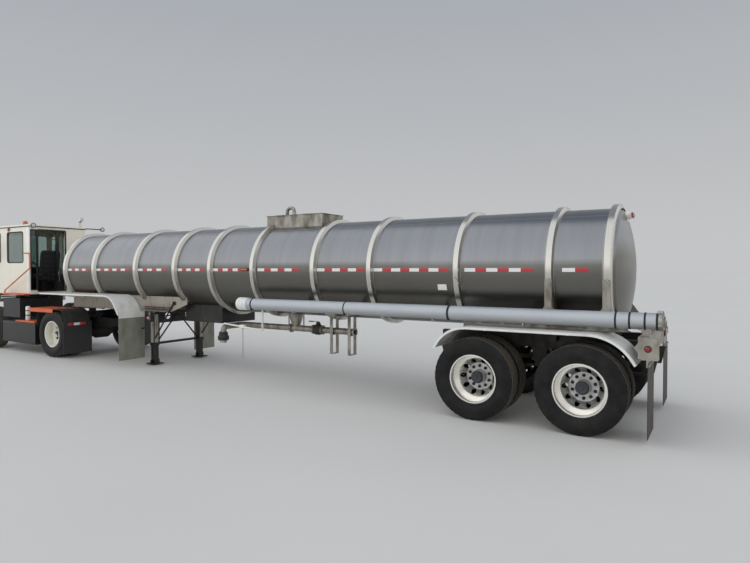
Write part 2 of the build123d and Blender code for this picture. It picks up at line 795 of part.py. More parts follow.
def landing_gear():
    """Two outer legs under the side plates, a frame across between them, and the pump box."""
    half = LEG_OUTER / 2
    inner = half - LEG_WALL
    leg = block(LEG_X - half, LEG_X + half, LEG_Y - half, LEG_Y + half, LEG_BOTTOM, LEG_TOP)
    leg += block(LEG_X - 90, LEG_X + 90, LEG_Y - half, LEG_Y + half + 16, LEG_TOP - 12, LEG_TOP)
    leg += block(LEG_X - half - 8, LEG_X + half + 8, LEG_Y - half, LEG_Y + half + 8, LEG_BOTTOM, LEG_BOTTOM + 40)
    plate = SUBFRAME_Y + SUBFRAME_PLATE / 2 + SEAT
    foot_low = COUPLER_Z + COUPLER_THICK + 150
    tail = LEG_X - 670
    leg += block(tail - 50, tail + 50, plate, plate + 10, foot_low, foot_low + 70)
    leg += rod((LEG_X - half + 4, LEG_Y + 30, 560), (tail, plate + 26, foot_low + 34), BRACE_R)
    leg -= block(LEG_X - inner, LEG_X + inner, LEG_Y - inner, LEG_Y + inner, LEG_BOTTOM - 1, LEG_TOP - 12 - LEG_WALL)
    near = leg + block(LEG_X + half, LEG_X + half + 70, LEG_Y - 40, LEG_Y + 50, 930, 1110)
    crank_x = LEG_X + half + 36
    near += bent_rod(
        [
            (crank_x, LEG_Y + 45, 1045),
            (crank_x, LEG_Y + 150, 1045),
            (crank_x, LEG_Y + 150, 780),
            (crank_x, LEG_Y + 250, 780),
        ],
        22,
        10,
    )
    edge = LEG_Y - half - SEAT
    across = rod((LEG_X, -edge, TIE_Z), (LEG_X, edge, TIE_Z), TIE_R)
    across += rod((LEG_X, -edge, 1010), (LEG_X, edge, 1010), 14)
    web = block(LEG_X - 5, LEG_X + 5, -edge, edge, 870, LEG_TOP)
    for side in (1, -1):
        y = side * edge / 2
        web -= rod((LEG_X - 6, y, 1010), (LEG_X + 6, y, 1010), 70)
        across += rod((LEG_X, side * edge, TIE_Z + TIE_R), (LEG_X, 0, LEG_TOP - 60), BRACE_R)
    across = (across + web) & block(LEG_X - half, LEG_X + half, -edge, edge, 0, LEG_TOP)
    return [near, mirrored(leg), across, pump_box()]


def landing_legs():
    half = LEG_OUTER / 2 - LEG_WALL - LEG_GAP
    leg = block(LEG_X - half, LEG_X + half, LEG_Y - half, LEG_Y + half, FOOT_Z + 10, LEG_BOTTOM + 400)
    foot = FOOT_SIZE / 2
    leg += block(LEG_X - foot, LEG_X + foot, LEG_Y - foot, LEG_Y + foot, FOOT_Z, FOOT_Z + 14)
    leg += block(LEG_X - 8, LEG_X + 8, LEG_Y - foot + 20, LEG_Y + foot - 20, FOOT_Z + 10, FOOT_Z + 90)
    return both(leg)


# Top of the tank
def spill_box():
    outer = block(SPILL_REAR, SPILL_FRONT, -SPILL_HALF, SPILL_HALF, TANK_Z + 600, SPILL_TOP)
    room = SPILL_HALF - SPILL_WALL
    inner = block(SPILL_REAR + SPILL_WALL, SPILL_FRONT - SPILL_WALL, -room, room, TANK_Z, SPILL_TOP + 1)
    rim = block(SPILL_REAR - 18, SPILL_FRONT + 18, -SPILL_HALF - 18, SPILL_HALF + 18, SPILL_TOP - 6, SPILL_TOP)
    box = outer + rim - inner - tank_room()
    for x in RING_XS:
        if SPILL_REAR < x < SPILL_FRONT:
            base = RING_BASE / 2 + 2
            outer_r = TANK_R + RING_HEIGHT + 2
            box -= turned_along_x(
                [(x - base, TANK_R), (x - base, outer_r), (x + base, outer_r), (x + base, TANK_R)]
            )
    return [box]


def manhole_neck():
    neck = Pos(MANHOLE_X, 0, TANK_Z + 700) * Cylinder(
        MANHOLE_R, MANHOLE_TOP - TANK_Z - 700, align=(Align.CENTER, Align.CENTER, Align.MIN)
    )
    neck -= Pos(MANHOLE_X, 0, TANK_Z) * Cylinder(
        MANHOLE_R - MANHOLE_WALL, 2000, align=(Align.CENTER, Align.CENTER, Align.MIN)
    )
    neck -= tank_room()
    hinge_x = MANHOLE_X - MANHOLE_R - LID_HINGE_OUT
    for side in (1, -1):
        low, high = sorted((side * 32, side * 52))
        neck += block(hinge_x - 14, MANHOLE_X - MANHOLE_R + 5, low, high, MANHOLE_TOP - 40, MANHOLE_TOP - 4)
        neck += block(hinge_x - 14, hinge_x + 14, low, high, MANHOLE_TOP - 40, MANHOLE_TOP + 22)
    return neck


def top_fittings():
    """The manhole neck, a vent gooseneck and a capped vapour port."""
    vent = bent_rod(
        [
            (VENT_X, 60, TANK_Z + TANK_R - 60),
            (VENT_X, 60, VENT_TOP),
            (VENT_X - 170, 60, VENT_TOP),
            (VENT_X - 170, 60, VENT_TOP - 130),
        ],
        78,
        32,
    )
    vent = vent - tank_room()
    port = rod((VENT_X - 20, -150, TANK_Z + TANK_R - 60), (VENT_X - 20, -150, SPILL_TOP - 60), 55) - tank_room()
    return [manhole_neck(), vent, port]


def manhole_lid():
    bottom = MANHOLE_TOP + SEAT
    lid = Pos(MANHOLE_X, 0, bottom) * Cylinder(
        MANHOLE_R + 12, LID_THICK, align=(Align.CENTER, Align.CENTER, Align.MIN)
    )
    lid += Pos(MANHOLE_X, 0, bottom + LID_THICK) * Cone(
        MANHOLE_R - 30, MANHOLE_R - 110, 26, align=(Align.CENTER, Align.CENTER, Align.MIN)
    )
    hinge_x = MANHOLE_X - MANHOLE_R - LID_HINGE_OUT
    lid += block(hinge_x, MANHOLE_X - MANHOLE_R + 20, -27, 27, bottom, bottom + LID_THICK)
    lid += rod((hinge_x, -27, bottom + 7), (hinge_x, 27, bottom + 7), 11)
    return [lid]


def ladder():
    """The side ladder on the right, from above the ground to the top of the tank."""
    rails = []
    for x in (LADDER_X - LADDER_HALF, LADDER_X + LADDER_HALF):
        rail = bent_rod(
            [
                (x, -LADDER_Y, LADDER_FOOT),
                (x, -LADDER_Y, TANK_Z + 250),
                (x, -LADDER_Y + 420, TANK_Z + TANK_R + 60),
                (x, -LADDER_Y + 640, TANK_Z + TANK_R + 60),
                (x, -LADDER_Y + 640, TANK_Z + TANK_R - 70),
            ],
            90,
            LADDER_RAIL_R,
        )
        for z in (TANK_Z - 450, TANK_Z + 120):
            rail += rod((x, -LADDER_Y, z), (x, -500, z), RUNG_R + 1)
        rails.append(rail - tank_room())
    reach = LADDER_HALF - LADDER_RAIL_R - SEAT
    steps = int((TANK_Z + 200 - LADDER_FOOT) / LADDER_PITCH) + 1
    for k in range(steps):
        z = LADDER_FOOT + 60 + k * LADDER_PITCH
        rails.append(rod((LADDER_X - reach, -LADDER_Y, z), (LADDER_X + reach, -LADDER_Y, z), RUNG_R))
    return rails


def flange(x0, x1):
    """A plain flange on the line."""
    return rod((x0, 0, LINE_Z), (x1, 0, LINE_Z), FLANGE_R)


def product_piping():
    """The sump, the line to the rear outlet, a branch to the left, and the outlet's two bent posts."""
    stub = LINE_Z + LINE_STUB
    sump = Pos(SUMP_X, 0, stub + SEAT) * Cone(
        FLANGE_R, 150, TANK_Z - TANK_R - stub + 20, align=(Align.CENTER, Align.CENTER, Align.MIN)
    )
    tee = SUMP_X + LINE_TEE
    line = rod((OUTLET_X, 0, LINE_Z), (tee, 0, LINE_Z), LINE_R)
    line += rod((SUMP_X, 0, LINE_Z), (SUMP_X, 0, stub), LINE_R)
    line += rod((SUMP_X, 0, stub - FLANGE_THICK), (SUMP_X, 0, stub), FLANGE_R)
    line += flange(OUTLET_X + 1, OUTLET_X - FLANGE_THICK) + flange(tee - FLANGE_THICK, tee)
    valve = SUMP_X - 520
    line += flange(valve - 113, valve - 100) + flange(valve + 100, valve + 113)
    line += rod((valve + 100, 0, LINE_Z), (valve - 100, 0, LINE_Z), LINE_R + 21)
    line += rod((valve, 0, LINE_Z + 60), (valve, 0, LINE_Z + 150), 22)
    line += block(valve - 8, valve + 210, -16, 16, LINE_Z + 140, LINE_Z + 150)
    line -= rod((OUTLET_X - FLANGE_THICK - 1, 0, LINE_Z), (OUTLET_X + BORE_DEPTH, 0, LINE_Z), BORE_R)
    for k in range(FLANGE_BOLTS):
        angle = 2 * math.pi * (k + 0.5) / FLANGE_BOLTS
        y = FLANGE_CIRCLE / 2 * math.cos(angle)
        z = LINE_Z + FLANGE_CIRCLE / 2 * math.sin(angle)
        line -= rod((OUTLET_X - FLANGE_THICK - 1, y, z), (OUTLET_X + 2, y, z), FLANGE_HOLE_R)
    start = tee + SEAT
    branch = bent_rod(
        [(start, 0, LINE_Z), (BRANCH_X, 0, LINE_Z), (BRANCH_X, 520, LINE_Z), (BRANCH_X, 520, LINE_Z - 260)],
        100,
        LINE_R,
    )
    branch += flange(start, start + FLANGE_THICK)
    branch += rod((BRANCH_X, 520, LINE_Z - 230), (BRANCH_X, 520, LINE_Z - 262), LINE_R + 32)
    return [sump - tank_room(), line, branch, outlet_post(OUTLET_X + 50), outlet_post(OUTLET_X + 435)]


def outlet_post(x):
    """A post bent from sheet that hangs from the tank round the line, with a saddle in it."""
    top = TANK_Z - TANK_R + 60
    out = POST_HALF + POST_SHEET
    rest = LINE_Z - LINE_R - SEAT
    post = block(x - 30, x + 30, -out, out, POST_FOOT, top)
    post -= block(x - 31, x + 31, -POST_HALF, POST_HALF, POST_FOOT + POST_SHEET, top + 1)
    post += block(x - 30, x + 30, -POST_HALF - 1, POST_HALF + 1, rest - POST_SHEET, rest)
    return post - tank_room()


# Terminal tractor
def tractor_frame():
    low = RAIL_TOP - RAIL_HEIGHT
    inner = RAIL_OUT - RAIL_FLANGE
    channel = [
        (RAIL_OUT, low),
        (RAIL_OUT, RAIL_TOP),
        (inner, RAIL_TOP),
        (inner, RAIL_TOP - RAIL_WEB),
        (RAIL_OUT - RAIL_WEB, RAIL_TOP - RAIL_WEB),
        (RAIL_OUT - RAIL_WEB, low + RAIL_WEB),
        (inner, low + RAIL_WEB),
        (inner, low),
    ]
    frame = both(cross_plate(channel, FRAME_REAR, FRAME_FRONT))
    web = RAIL_OUT - RAIL_WEB - SEAT
    # Crossmembers: where each starts and how far its top lies below the rails' top
    for x, drop in ((FRAME_REAR, 20), (DRIVE_X + 620, 100), (CAB_REAR + 690, 20), (FRAME_FRONT - 60, 20)):
        frame.append(block(x, x + 60, -web, web, low + 20, RAIL_TOP - drop))
    return frame + cab_risers()


def cab_risers():
    """Two portals that carry the cab's floor over the engine."""
    beam_low = CAB_FLOOR_UNDER - SEAT - RISER_BEAM
    portals = []
    for x in (CAB_REAR + RISER_INSET, CAB_FRONT - RISER_INSET - RISER_BEAM):
        portal = block(x, x + RISER_BEAM, -RAIL_OUT, CAB_LEFT - 60, beam_low, CAB_FLOOR_UNDER - SEAT)
        for side in (1, -1):
            low, high = sorted((side * (RAIL_OUT - RAIL_FLANGE), side * RAIL_OUT))
            portal += block(x, x + RISER_BEAM, low, high, RAIL_TOP + SEAT, beam_low + 1)
        portals.append(portal)
    return portals


def fifth_wheel():
    top = COUPLER_Z - COUPLER_GAP
    under = top - 35
    plate = Pos(KINGPIN_X, 0, under) * Cylinder(470, 35, align=(Align.CENTER, Align.CENTER, Align.MIN))
    plate = plate & block(KINGPIN_X - 470, KINGPIN_X + 330, -460, 460, under, top)
    throat = KINGPIN_HEAD_R + 6
    plate -= Pos(KINGPIN_X, 0, under) * Cylinder(throat, 80)
    plate -= flat_plate(
        [
            (KINGPIN_X, throat),
            (KINGPIN_X - 160, throat + 2),
            (KINGPIN_X - 480, 190),
            (KINGPIN_X - 480, -190),
            (KINGPIN_X - 160, -throat - 2),
            (KINGPIN_X, -throat),
        ],
        under - 1,
        top + 1,
    )
    for side in (1, -1):
        low, high = sorted((side * 250, side * 300))
        plate += block(KINGPIN_X - 110, KINGPIN_X + 110, low, high, BOOM_TOP + SEAT, under + 1)
    jaw = block(KINGPIN_X - 110, KINGPIN_X + 90, -100, 100, COUPLER_Z - 68, under + 1)
    jaw -= Pos(KINGPIN_X, 0, COUPLER_Z - 60) * Cylinder(KINGPIN_R + SEAT, 200)
    jaw -= Pos(KINGPIN_X, 0, COUPLER_Z - KINGPIN_COLLAR - 3) * Cylinder(
        throat, 20, align=(Align.CENTER, Align.CENTER, Align.MIN)
    )
    return [plate + jaw, lift_boom()]


def lift_boom():
    """The arms that carry the fifth wheel, their pivot tube and the two lift cylinders."""
    tail = KINGPIN_X - 160
    arm = side_plate(
        [
            (tail, BOOM_TOP - 90),
            (tail, BOOM_TOP),
            (KINGPIN_X + 200, BOOM_TOP),
            (BOOM_PIVOT_X + 70, BOOM_PIVOT_Z + 60),
            (BOOM_PIVOT_X + 70, BOOM_PIVOT_Z - 60),
            (BOOM_PIVOT_X - 70, BOOM_PIVOT_Z - 60),
            (KINGPIN_X + 160, BOOM_TOP - 130),
        ],
        245,
        305,
    )
    boom = arm + mirrored(arm)
    web = RAIL_OUT - RAIL_WEB - SEAT
    boom += rod((BOOM_PIVOT_X, -web, BOOM_PIVOT_Z), (BOOM_PIVOT_X, web, BOOM_PIVOT_Z), 42)
    boom += block(KINGPIN_X + 150, KINGPIN_X + 230, -246, 246, BOOM_TOP - 90, BOOM_TOP - 10)
    for side in (1, -1):
        y = side * 180
        boom += rod((KINGPIN_X + 225, y, BOOM_TOP - 50), (DRIVE_X + 604, y, RAIL_TOP - 162), 28)
        boom += rod((KINGPIN_X + 420, y, BOOM_TOP - 120), (DRIVE_X + 590, y, RAIL_TOP - 160), 44)
    return boom


def tractor_axles():
    reach = DRIVE_TRACK_OUT - (TYRE_WIDTH + TWIN_PITCH) / 2 - HUB_CAP_DEPTH
    low = RAIL_TOP - RAIL_HEIGHT
    z = TRACTOR_TYRE_R
    drive = turned_along_y(
        [
            (-reach, 0),
            (-reach, AXLE_TUBE_R),
            (-600, AXLE_TUBE_R),
            (-330, AXLE_TUBE_R + 10),
            (-150, 190),
            (150, 190),
            (330, AXLE_TUBE_R + 10),
            (600, AXLE_TUBE_R),
            (reach, AXLE_TUBE_R),
            (reach, 0),
        ],
        DRIVE_X,
        z,
    )
    for side in (1, -1):
        inner, outer = sorted((side * (RAIL_OUT - RAIL_FLANGE), side * RAIL_OUT))
        drive += block(DRIVE_X - 110, DRIVE_X + 110, inner, outer, z + 50, low - SEAT)
    beam_top = z + 50
    front = block(STEER_X - 42, STEER_X + 42, -STEER_PIVOT_Y, STEER_PIVOT_Y, z - 50, beam_top)
    for side in (1, -1):
        y = side * STEER_PIVOT_Y
        front += Pos(STEER_X, y, z) * Cylinder(44, 100)
        front -= Pos(STEER_X, y, z) * Cylinder(PIVOT_R + PIVOT_GAP, 120)
        inner, outer = sorted((side * (RAIL_OUT - RAIL_FLANGE), side * RAIL_OUT))
        front += block(STEER_X - 70, STEER_X + 70, inner, outer, beam_top - 5, low - SEAT)
    return [drive, front]


def knuckle(side):
    """A fork round the axle's end, its pin, the spindle and a steering arm."""
    z = TRACTOR_TYRE_R
    y = side * STEER_PIVOT_Y
    piece = None
    for lift in (66, -66):
        lug = Pos(STEER_X, y, z + lift) * Cylinder(44, 28)
        low, high = sorted((y, y + side * 80))
        lug += block(STEER_X - 40, STEER_X + 40, low, high, z + lift - 14, z + lift + 14)
        piece = lug if piece is None else piece + lug
    low, high = sorted((y + side * 50, y + side * 80))
    piece += block(STEER_X - 48, STEER_X + 48, low, high, z - 80, z + 80)
    piece += rod((STEER_X, y + side * 75, z), (STEER_X, side * (STEER_TYRE_Y + 55), z), SPINDLE_R)
    piece += Pos(STEER_X, y, z) * Cylinder(PIVOT_R, 150)
    low, high = sorted((y + side * 30, y + side * 60))
    piece += block(STEER_X - 190, STEER_X - 20, low - 10, high - 10, z - 80, z - 56)
    return piece


def steer_hub(side):
    z = TRACTOR_TYRE_R
    face = side * (STEER_TYRE_Y + STEER_DISC)
    return turned_along_y(
        [
            (face - side * 100, SPINDLE_R + RUN_GAP),
            (face - side * 100, DRUM_R - 10),
            (face - side * DISC_WALL, DRUM_R - 10),
            (face - side * SEAT, TRACTOR_RIM_R - DRUM_FACE_INSET),
            (face - side * SEAT, HUB_R),
            (face + side * 62, HUB_R),
            (face + side * 80, HUB_R - 26),
            (face + side * 80, 20),
            (face + side * 26, 20),
            (face + side * 26, SPINDLE_R + RUN_GAP),
        ],
        STEER_X,
        z,
    )


# Cab
def cab_floor():
    inner_front = CAB_FRONT - CAB_WALL
    return [
        block(CAB_REAR + CAB_WALL, inner_front, CAB_RIGHT + CAB_WALL, CAB_LEFT - CAB_WALL, CAB_FLOOR_UNDER, CAB_FLOOR_TOP)
    ]


def end_wall(x, face):
    """An end wall of the cab from x on, with its corners rounded at the outer face."""
    wall = block(x, x + CAB_WALL, CAB_RIGHT, CAB_LEFT, CAB_FLOOR_UNDER, CAB_ROOF_UNDER)
    corners = [e for e in wall.edges().filter_by(Axis.Z) if abs(e.center().X - face) < 1]
    return fillet(corners, CAB_CORNER)


def cab_rear_wall():
    wall = end_wall(CAB_REAR, CAB_REAR)
    head = CAB_ROOF_UNDER - 95
    wall -= block(CAB_REAR - 1, CAB_REAR + CAB_WALL + 1, DOOR_RIGHT, DOOR_LEFT, CAB_FLOOR_TOP + 30, head)
    wall -= block(CAB_REAR - 1, CAB_REAR + CAB_WALL + 1, DOOR_LEFT + 30, CAB_LEFT - 30, CAB_FLOOR_TOP + 60, head)
    inner = CAB_REAR + CAB_WALL
    for z in (head + 20, CAB_FLOOR_TOP + 4):
        wall += block(inner, inner + 56, CAB_RIGHT + CAB_WALL, CAB_LEFT - CAB_WALL, z, z + 8)
    return [wall]


def side_window_cut(wall, y0, y1):
    for x0, x1 in SIDE_WINDOWS:
        opening = block(CAB_REAR + x0, CAB_REAR + x1, y0 - 1, y1 + 1, WINDOW_SILL, WINDOW_HEAD)
        wall = wall - fillet(opening.edges().filter_by(Axis.Y), WINDOW_CORNER)
    return wall


def cab_side_walls():
    x0 = CAB_REAR + CAB_WALL
    x1 = CAB_FRONT - CAB_WALL
    left = block(x0, x1, CAB_LEFT - CAB_WALL, CAB_LEFT, CAB_FLOOR_UNDER, CAB_ROOF_UNDER)
    right = block(x0, x1, CAB_RIGHT, CAB_RIGHT + CAB_WALL, CAB_FLOOR_UNDER, CAB_ROOF_UNDER)
    return [
        side_window_cut(left, CAB_LEFT - CAB_WALL, CAB_LEFT),
        side_window_cut(right, CAB_RIGHT, CAB_RIGHT + CAB_WALL),
    ]


def cab_front_wall():
    wall = end_wall(CAB_FRONT - CAB_WALL, CAB_FRONT)
    opening = block(CAB_FRONT - 60, CAB_FRONT + 1, CAB_RIGHT + 70, CAB_LEFT - 70, WINDSCREEN_SILL, WINDOW_HEAD)
    return [wall - fillet(opening.edges().filter_by(Axis.X), WINDOW_CORNER)]


def cab_roof():
    roof = block(CAB_REAR - 25, CAB_FRONT + 55, CAB_RIGHT - 20, CAB_LEFT + 20, CAB_ROOF_UNDER, CAB_ROOF_TOP)
    rim = roof.edges().filter_by(Axis.Z)
    roof = fillet(rim, 60)
    top = roof.edges().group_by(Axis.Z)[-1]
    return [fillet(top, 18)]


def cab_glass():
    panes = []
    mid = CAB_WALL / 2
    for y in (CAB_LEFT - mid, CAB_RIGHT + mid):
        for x0, x1 in SIDE_WINDOWS:
            pane = block(CAB_REAR + x0, CAB_REAR + x1, y - GLASS / 2, y + GLASS / 2, WINDOW_SILL, WINDOW_HEAD)
            panes.append(fillet(pane.edges().filter_by(Axis.Y), WINDOW_CORNER))
    head = CAB_ROOF_UNDER - 95
    x = CAB_REAR + mid
    panes.append(
        block(x - GLASS / 2, x + GLASS / 2, DOOR_LEFT + 30, CAB_LEFT - 30, CAB_FLOOR_TOP + 60, head)
    )
    x = CAB_FRONT - mid
    pane = block(x - GLASS / 2, x + GLASS / 2, CAB_RIGHT + 70, CAB_LEFT - 70, WINDSCREEN_SILL, WINDOW_HEAD)
    panes.append(fillet(pane.edges().filter_by(Axis.X), WINDOW_CORNER))
    return panes


def rear_door():
    """The sliding leaf, standing open behind the right part of the wall."""
    x0 = CAB_REAR + CAB_WALL + DOOR_GAP
    right = DOOR_RIGHT - 20 - DOOR_TRAVEL
    low = CAB_FLOOR_TOP + 12 + SEAT
    high = CAB_ROOF_UNDER - 95 + 14
    leaf = block(x0, x0 + 34, right, right + DOOR_LEAF, low, high)
    left = right + DOOR_LEAF
    window = block(x0 - 1, x0 + 35, right + DOOR_STILE, left - DOOR_STILE, DOOR_SILL, high - DOOR_STILE)
    leaf -= fillet(window.edges().filter_by(Axis.X), 50)
    # The pressed panel below the window
    press = block(x0 - 1, x0 + 8, right + 90, left - 90, low + 80, DOOR_SILL - 80)
    return [leaf - fillet(press.edges().filter_by(Axis.X), 30)]


def seat():
    x = CAB_REAR + 620
    y = 300
    base = block(x - 170, x + 170, y - 150, y + 150, CAB_FLOOR_TOP, CAB_FLOOR_TOP + 300)
    cushion = block(x - 260, x + 240, y - 250, y + 250, CAB_FLOOR_TOP + 300 + SEAT, CAB_FLOOR_TOP + 430)
    back = side_plate(
        [
            (x - 270, CAB_FLOOR_TOP + 430 + SEAT),
            (x - 150, CAB_FLOOR_TOP + 430 + SEAT),
            (x - 250, CAB_FLOOR_TOP + 1050),
            (x - 350, CAB_FLOOR_TOP + 1050),
        ],
        y - 240,
        y + 240,
    )
    return [base, fillet(cushion.edges(), 40), fillet(back.edges(), 30)]


def dashboard():
    """The console under the windscreen with the column and wheel."""
    inner = CAB_FRONT - CAB_WALL
    desk = side_plate(
        [
            (inner, CAB_FLOOR_TOP),
            (inner, WINDSCREEN_SILL - 10),
            (inner - 180, WINDSCREEN_SILL - 10),
            (inner - 330, WINDSCREEN_SILL - 150),
            (inner - 260, CAB_FLOOR_TOP + 260),
            (inner - 260, CAB_FLOOR_TOP),
        ],
        CAB_RIGHT + CAB_WALL,
        CAB_LEFT - CAB_WALL,
    )
    hub_x = inner - 420
    hub_z = WINDSCREEN_SILL - 10
    y = 300
    column = rod((inner - 200, y, hub_z - 190), (hub_x, y, hub_z), 24)
    lean = Plane(origin=(hub_x, y, hub_z), z_dir=(-220, 0, 190))
    rim = lean * Torus(WHEEL_RIM_R, WHEEL_GRIP_R)
    reach = WHEEL_RIM_R - WHEEL_GRIP_R - SEAT
    spokes = lean * Pos(0, 0, -8) * Cylinder(46, 16)
    for angle in (90, 210, 330):
        bar = Rot(0, 0, angle) * Pos(reach / 2, 0, -8) * Box(reach, 26, 8)
        spokes += lean * bar
    return [desk, (column - desk) + spokes, rim]


def engine_block():
    """The engine and gearbox as one plain mass, on feet that stand on the rails."""
    front = ENGINE_REAR + ENGINE_LENGTH
    engine = block(ENGINE_REAR, front, -ENGINE_HALF, ENGINE_HALF, ENGINE_LOW, ENGINE_TOP)
    foot = RAIL_OUT - RAIL_WEB
    for x in (ENGINE_REAR + 150, front - 250):
        engine += block(x, x + 100, -foot, foot, RAIL_TOP + SEAT, RAIL_TOP + 30)
    return [engine]


def hood():
    """The nose ahead of the cab: a hollow cover with a slatted grille."""
    rear = CAB_FRONT + SEAT
    front = FRAME_FRONT - 20
    shell = side_plate(
        [
            (rear, HOOD_BOTTOM),
            (front, HOOD_BOTTOM),
            (front, HOOD_TOP - 260),
            (front - 130, HOOD_TOP - 60),
            (rear, HOOD_TOP),
        ],
        CAB_RIGHT - 440,
        CAB_LEFT - 10,
    )
    room = side_plate(
        [
            (rear - 1, HOOD_BOTTOM - 1),
            (front - 25, HOOD_BOTTOM - 1),
            (front - 25, HOOD_TOP - 280),
            (front - 150, HOOD_TOP - 85),
            (rear - 1, HOOD_TOP - 25),
        ],
        CAB_RIGHT - 415,
        CAB_LEFT - 35,
    )
    shell -= room
    for k in range(GRILLE_SLOTS):
        z = HOOD_BOTTOM + 90 + k * 62
        shell -= block(front - 40, front + 1, -560, 560, z, z + 34)
    return [shell]


def side_boxes():
    """The fuel tank, the battery box above it and the air tank on the right."""
    outer = BOX_OUT
    inner = RAIL_OUT + SEAT
    front = STEER_X - BOX_CLEAR
    tank = block(DRIVE_X + 770, front, inner + 60, outer, 220, 740)
    tank = fillet(tank.edges().filter_by(Axis.X), 40)
    for x in (DRIVE_X + 1000, front - 250):
        tank += block(x, x + 60, inner, inner + 70, RAIL_TOP - 180, RAIL_TOP - 145)
    box = block(front - 790, front, inner, outer - 20, 840, 1300)
    air = rod((DRIVE_X + 900, -720, 560), (front - 300, -720, 560), 150)
    for x in (DRIVE_X + 1100, front - 550):
        air += block(x, x + 50, -720, -inner, RAIL_TOP - 190, RAIL_TOP - 150)
    return [tank, box, air]


def steps_and_rails():
    """The deck behind the cab, the side steps and the handrail, all one colour."""
    rear = DRIVE_X - 110
    front = CAB_REAR - 470
    pieces = []
    out = ARCH_OUT + 14
    deck = block(rear, front, DECK_IN, out, DECK_Z - DECK_SHEET, DECK_Z)
    deck += block(rear, front, out - DECK_SHEET, out, DECK_Z - DECK_LIP, DECK_Z)
    pieces.append(deck)
    step = block(DRIVE_X + 800, DRIVE_X + 1670, BOX_OUT - 330, BOX_OUT, 740 + SEAT, 775)
    pieces.append(step)
    sill = block(CAB_REAR, CAB_REAR + 1040, CAB_LEFT + SEAT, CAB_LEFT + 150, CAB_FLOOR_UNDER - 15, CAB_FLOOR_UNDER + 20)
    pieces.append(sill)
    rail = bent_rod(
        [
            (CAB_REAR + 960, CAB_LEFT + 120, CAB_FLOOR_UNDER + 10),
            (CAB_REAR + 960, CAB_LEFT + 120, CAB_FLOOR_UNDER + 80),
            (CAB_REAR - 240, CAB_LEFT + 120, CAB_FLOOR_TOP + 590),
            (CAB_REAR - 240, CAB_LEFT + 120, CAB_FLOOR_TOP + 950),
            (CAB_REAR + 40, CAB_LEFT + 120, CAB_FLOOR_TOP + 950),
            (CAB_REAR + 40, CAB_LEFT + 2, CAB_FLOOR_TOP + 950),
        ],
        50,
        16,
    )
    pieces[2] += rail
    return pieces


def drive_fenders():
    """Quarter fenders over the drive tyres and the flaps behind them."""
    z = TRACTOR_TYRE_R
    gap = TRACTOR_TYRE_R + ARCH_CLEAR
    middle = (ARCH_IN + ARCH_OUT) / 2
    width = ARCH_OUT - ARCH_IN
    path = FilletPolyline(
        (DRIVE_X - gap, middle, z + 230),
        (DRIVE_X - gap, middle, z + gap),
        (DRIVE_X + gap, middle, z + gap),
        (DRIVE_X + gap + 20, middle, z + 160),
        radius=260,
    )
    plane = Plane(origin=path @ 0, x_dir=(0, 1, 0), z_dir=path % 0)
    arch = sweep(plane * Rectangle(width, ARCH_SHEET), path=path)
    under = z + gap - ARCH_SHEET / 2 - ARCH_STAY_R + 1
    for x in (DRIVE_X - 180, DRIVE_X + 260):
        arch += bent_rod(
            [
                (x, RAIL_OUT + SEAT, RAIL_TOP - 60),
                (x, RAIL_OUT + 130, RAIL_TOP - 60),
                (x, RAIL_OUT + 130, under),
                (x, ARCH_OUT - 60, under),
            ],
            50,
            ARCH_STAY_R,
        )
    flap_x = DRIVE_X - gap - ARCH_SHEET / 2 - SEAT
    flap = block(flap_x - FLAP_THICK, flap_x, FENDER_IN - 50, FENDER_OUT - 10, 110, z + 300)
    return both(arch) + both(flap)


def exhaust_stack():
    x = CAB_REAR + 500
    y = CAB_RIGHT - 170
    stack = bent_rod(
        [
            (x + 400, y + 40, RAIL_TOP - 100),
            (x, y + 40, RAIL_TOP - 100),
            (x, y + 40, EXHAUST_TOP - 60),
            (x - 130, y + 40, EXHAUST_TOP),
        ],
        60,
        45,
    )
    stack += rod((x, y + 40, CAB_FLOOR_TOP + 80), (x, y + 40, CAB_FLOOR_TOP + 900), 95)
    stack += block(x + 350, x + 400, y, -RAIL_OUT - SEAT, RAIL_TOP - 120, RAIL_TOP - 80)
    return [stack]


def front_bumper():
    bumper = block(FRAME_FRONT + SEAT, BUMPER_FRONT, -1150, 1150, 450, 800)
    return [fillet(bumper.edges().filter_by(Axis.Z), 40)]


def mirrors():
    pieces = []
    for y, side in ((CAB_LEFT, 1), (CAB_RIGHT, -1)):
        out = y + side * 190
        x = CAB_FRONT - 72
        arm = bent_rod(
            [
                (x, y + side * SEAT, 2850),
                (x, out, 2850),
                (x, out, 2150),
                (x, y + side * SEAT, 2150),
            ],
            40,
            11,
        )
        low, high = sorted((out - 85, out + 85))
        arm += block(x - 45, x + 6, low, high, 2290, 2710)
        pieces.append(arm)
    return pieces


def roof_lamps():
    """The beacon and work lamps at the cab's rear edge, with the bar to the lamp on the right."""
    top = CAB_ROOF_TOP + SEAT
    beacon = Pos(CAB_REAR + 700, CAB_LEFT - 260, top) * Cylinder(70, 110, align=(Align.CENTER, Align.CENTER, Align.MIN))
    lamps = [fillet(beacon.edges().group_by(Axis.Z)[-1], 30)]
    z = CAB_ROOF_UNDER + 10
    bar = rod((CAB_REAR + 20, CAB_RIGHT - 20 - SEAT, z), (CAB_REAR + 20, CAB_RIGHT - 440, z), 14)
    bar += rod((CAB_REAR - 50, CAB_RIGHT - 440, z), (CAB_REAR + 60, CAB_RIGHT - 440, z), 62)
    lamps.append(bar)
    lamp = rod((CAB_REAR - 25 - SEAT, CAB_LEFT - 60, z), (CAB_REAR - 85, CAB_LEFT - 60, z), 60)
    lamps.append(lamp)
    return lamps


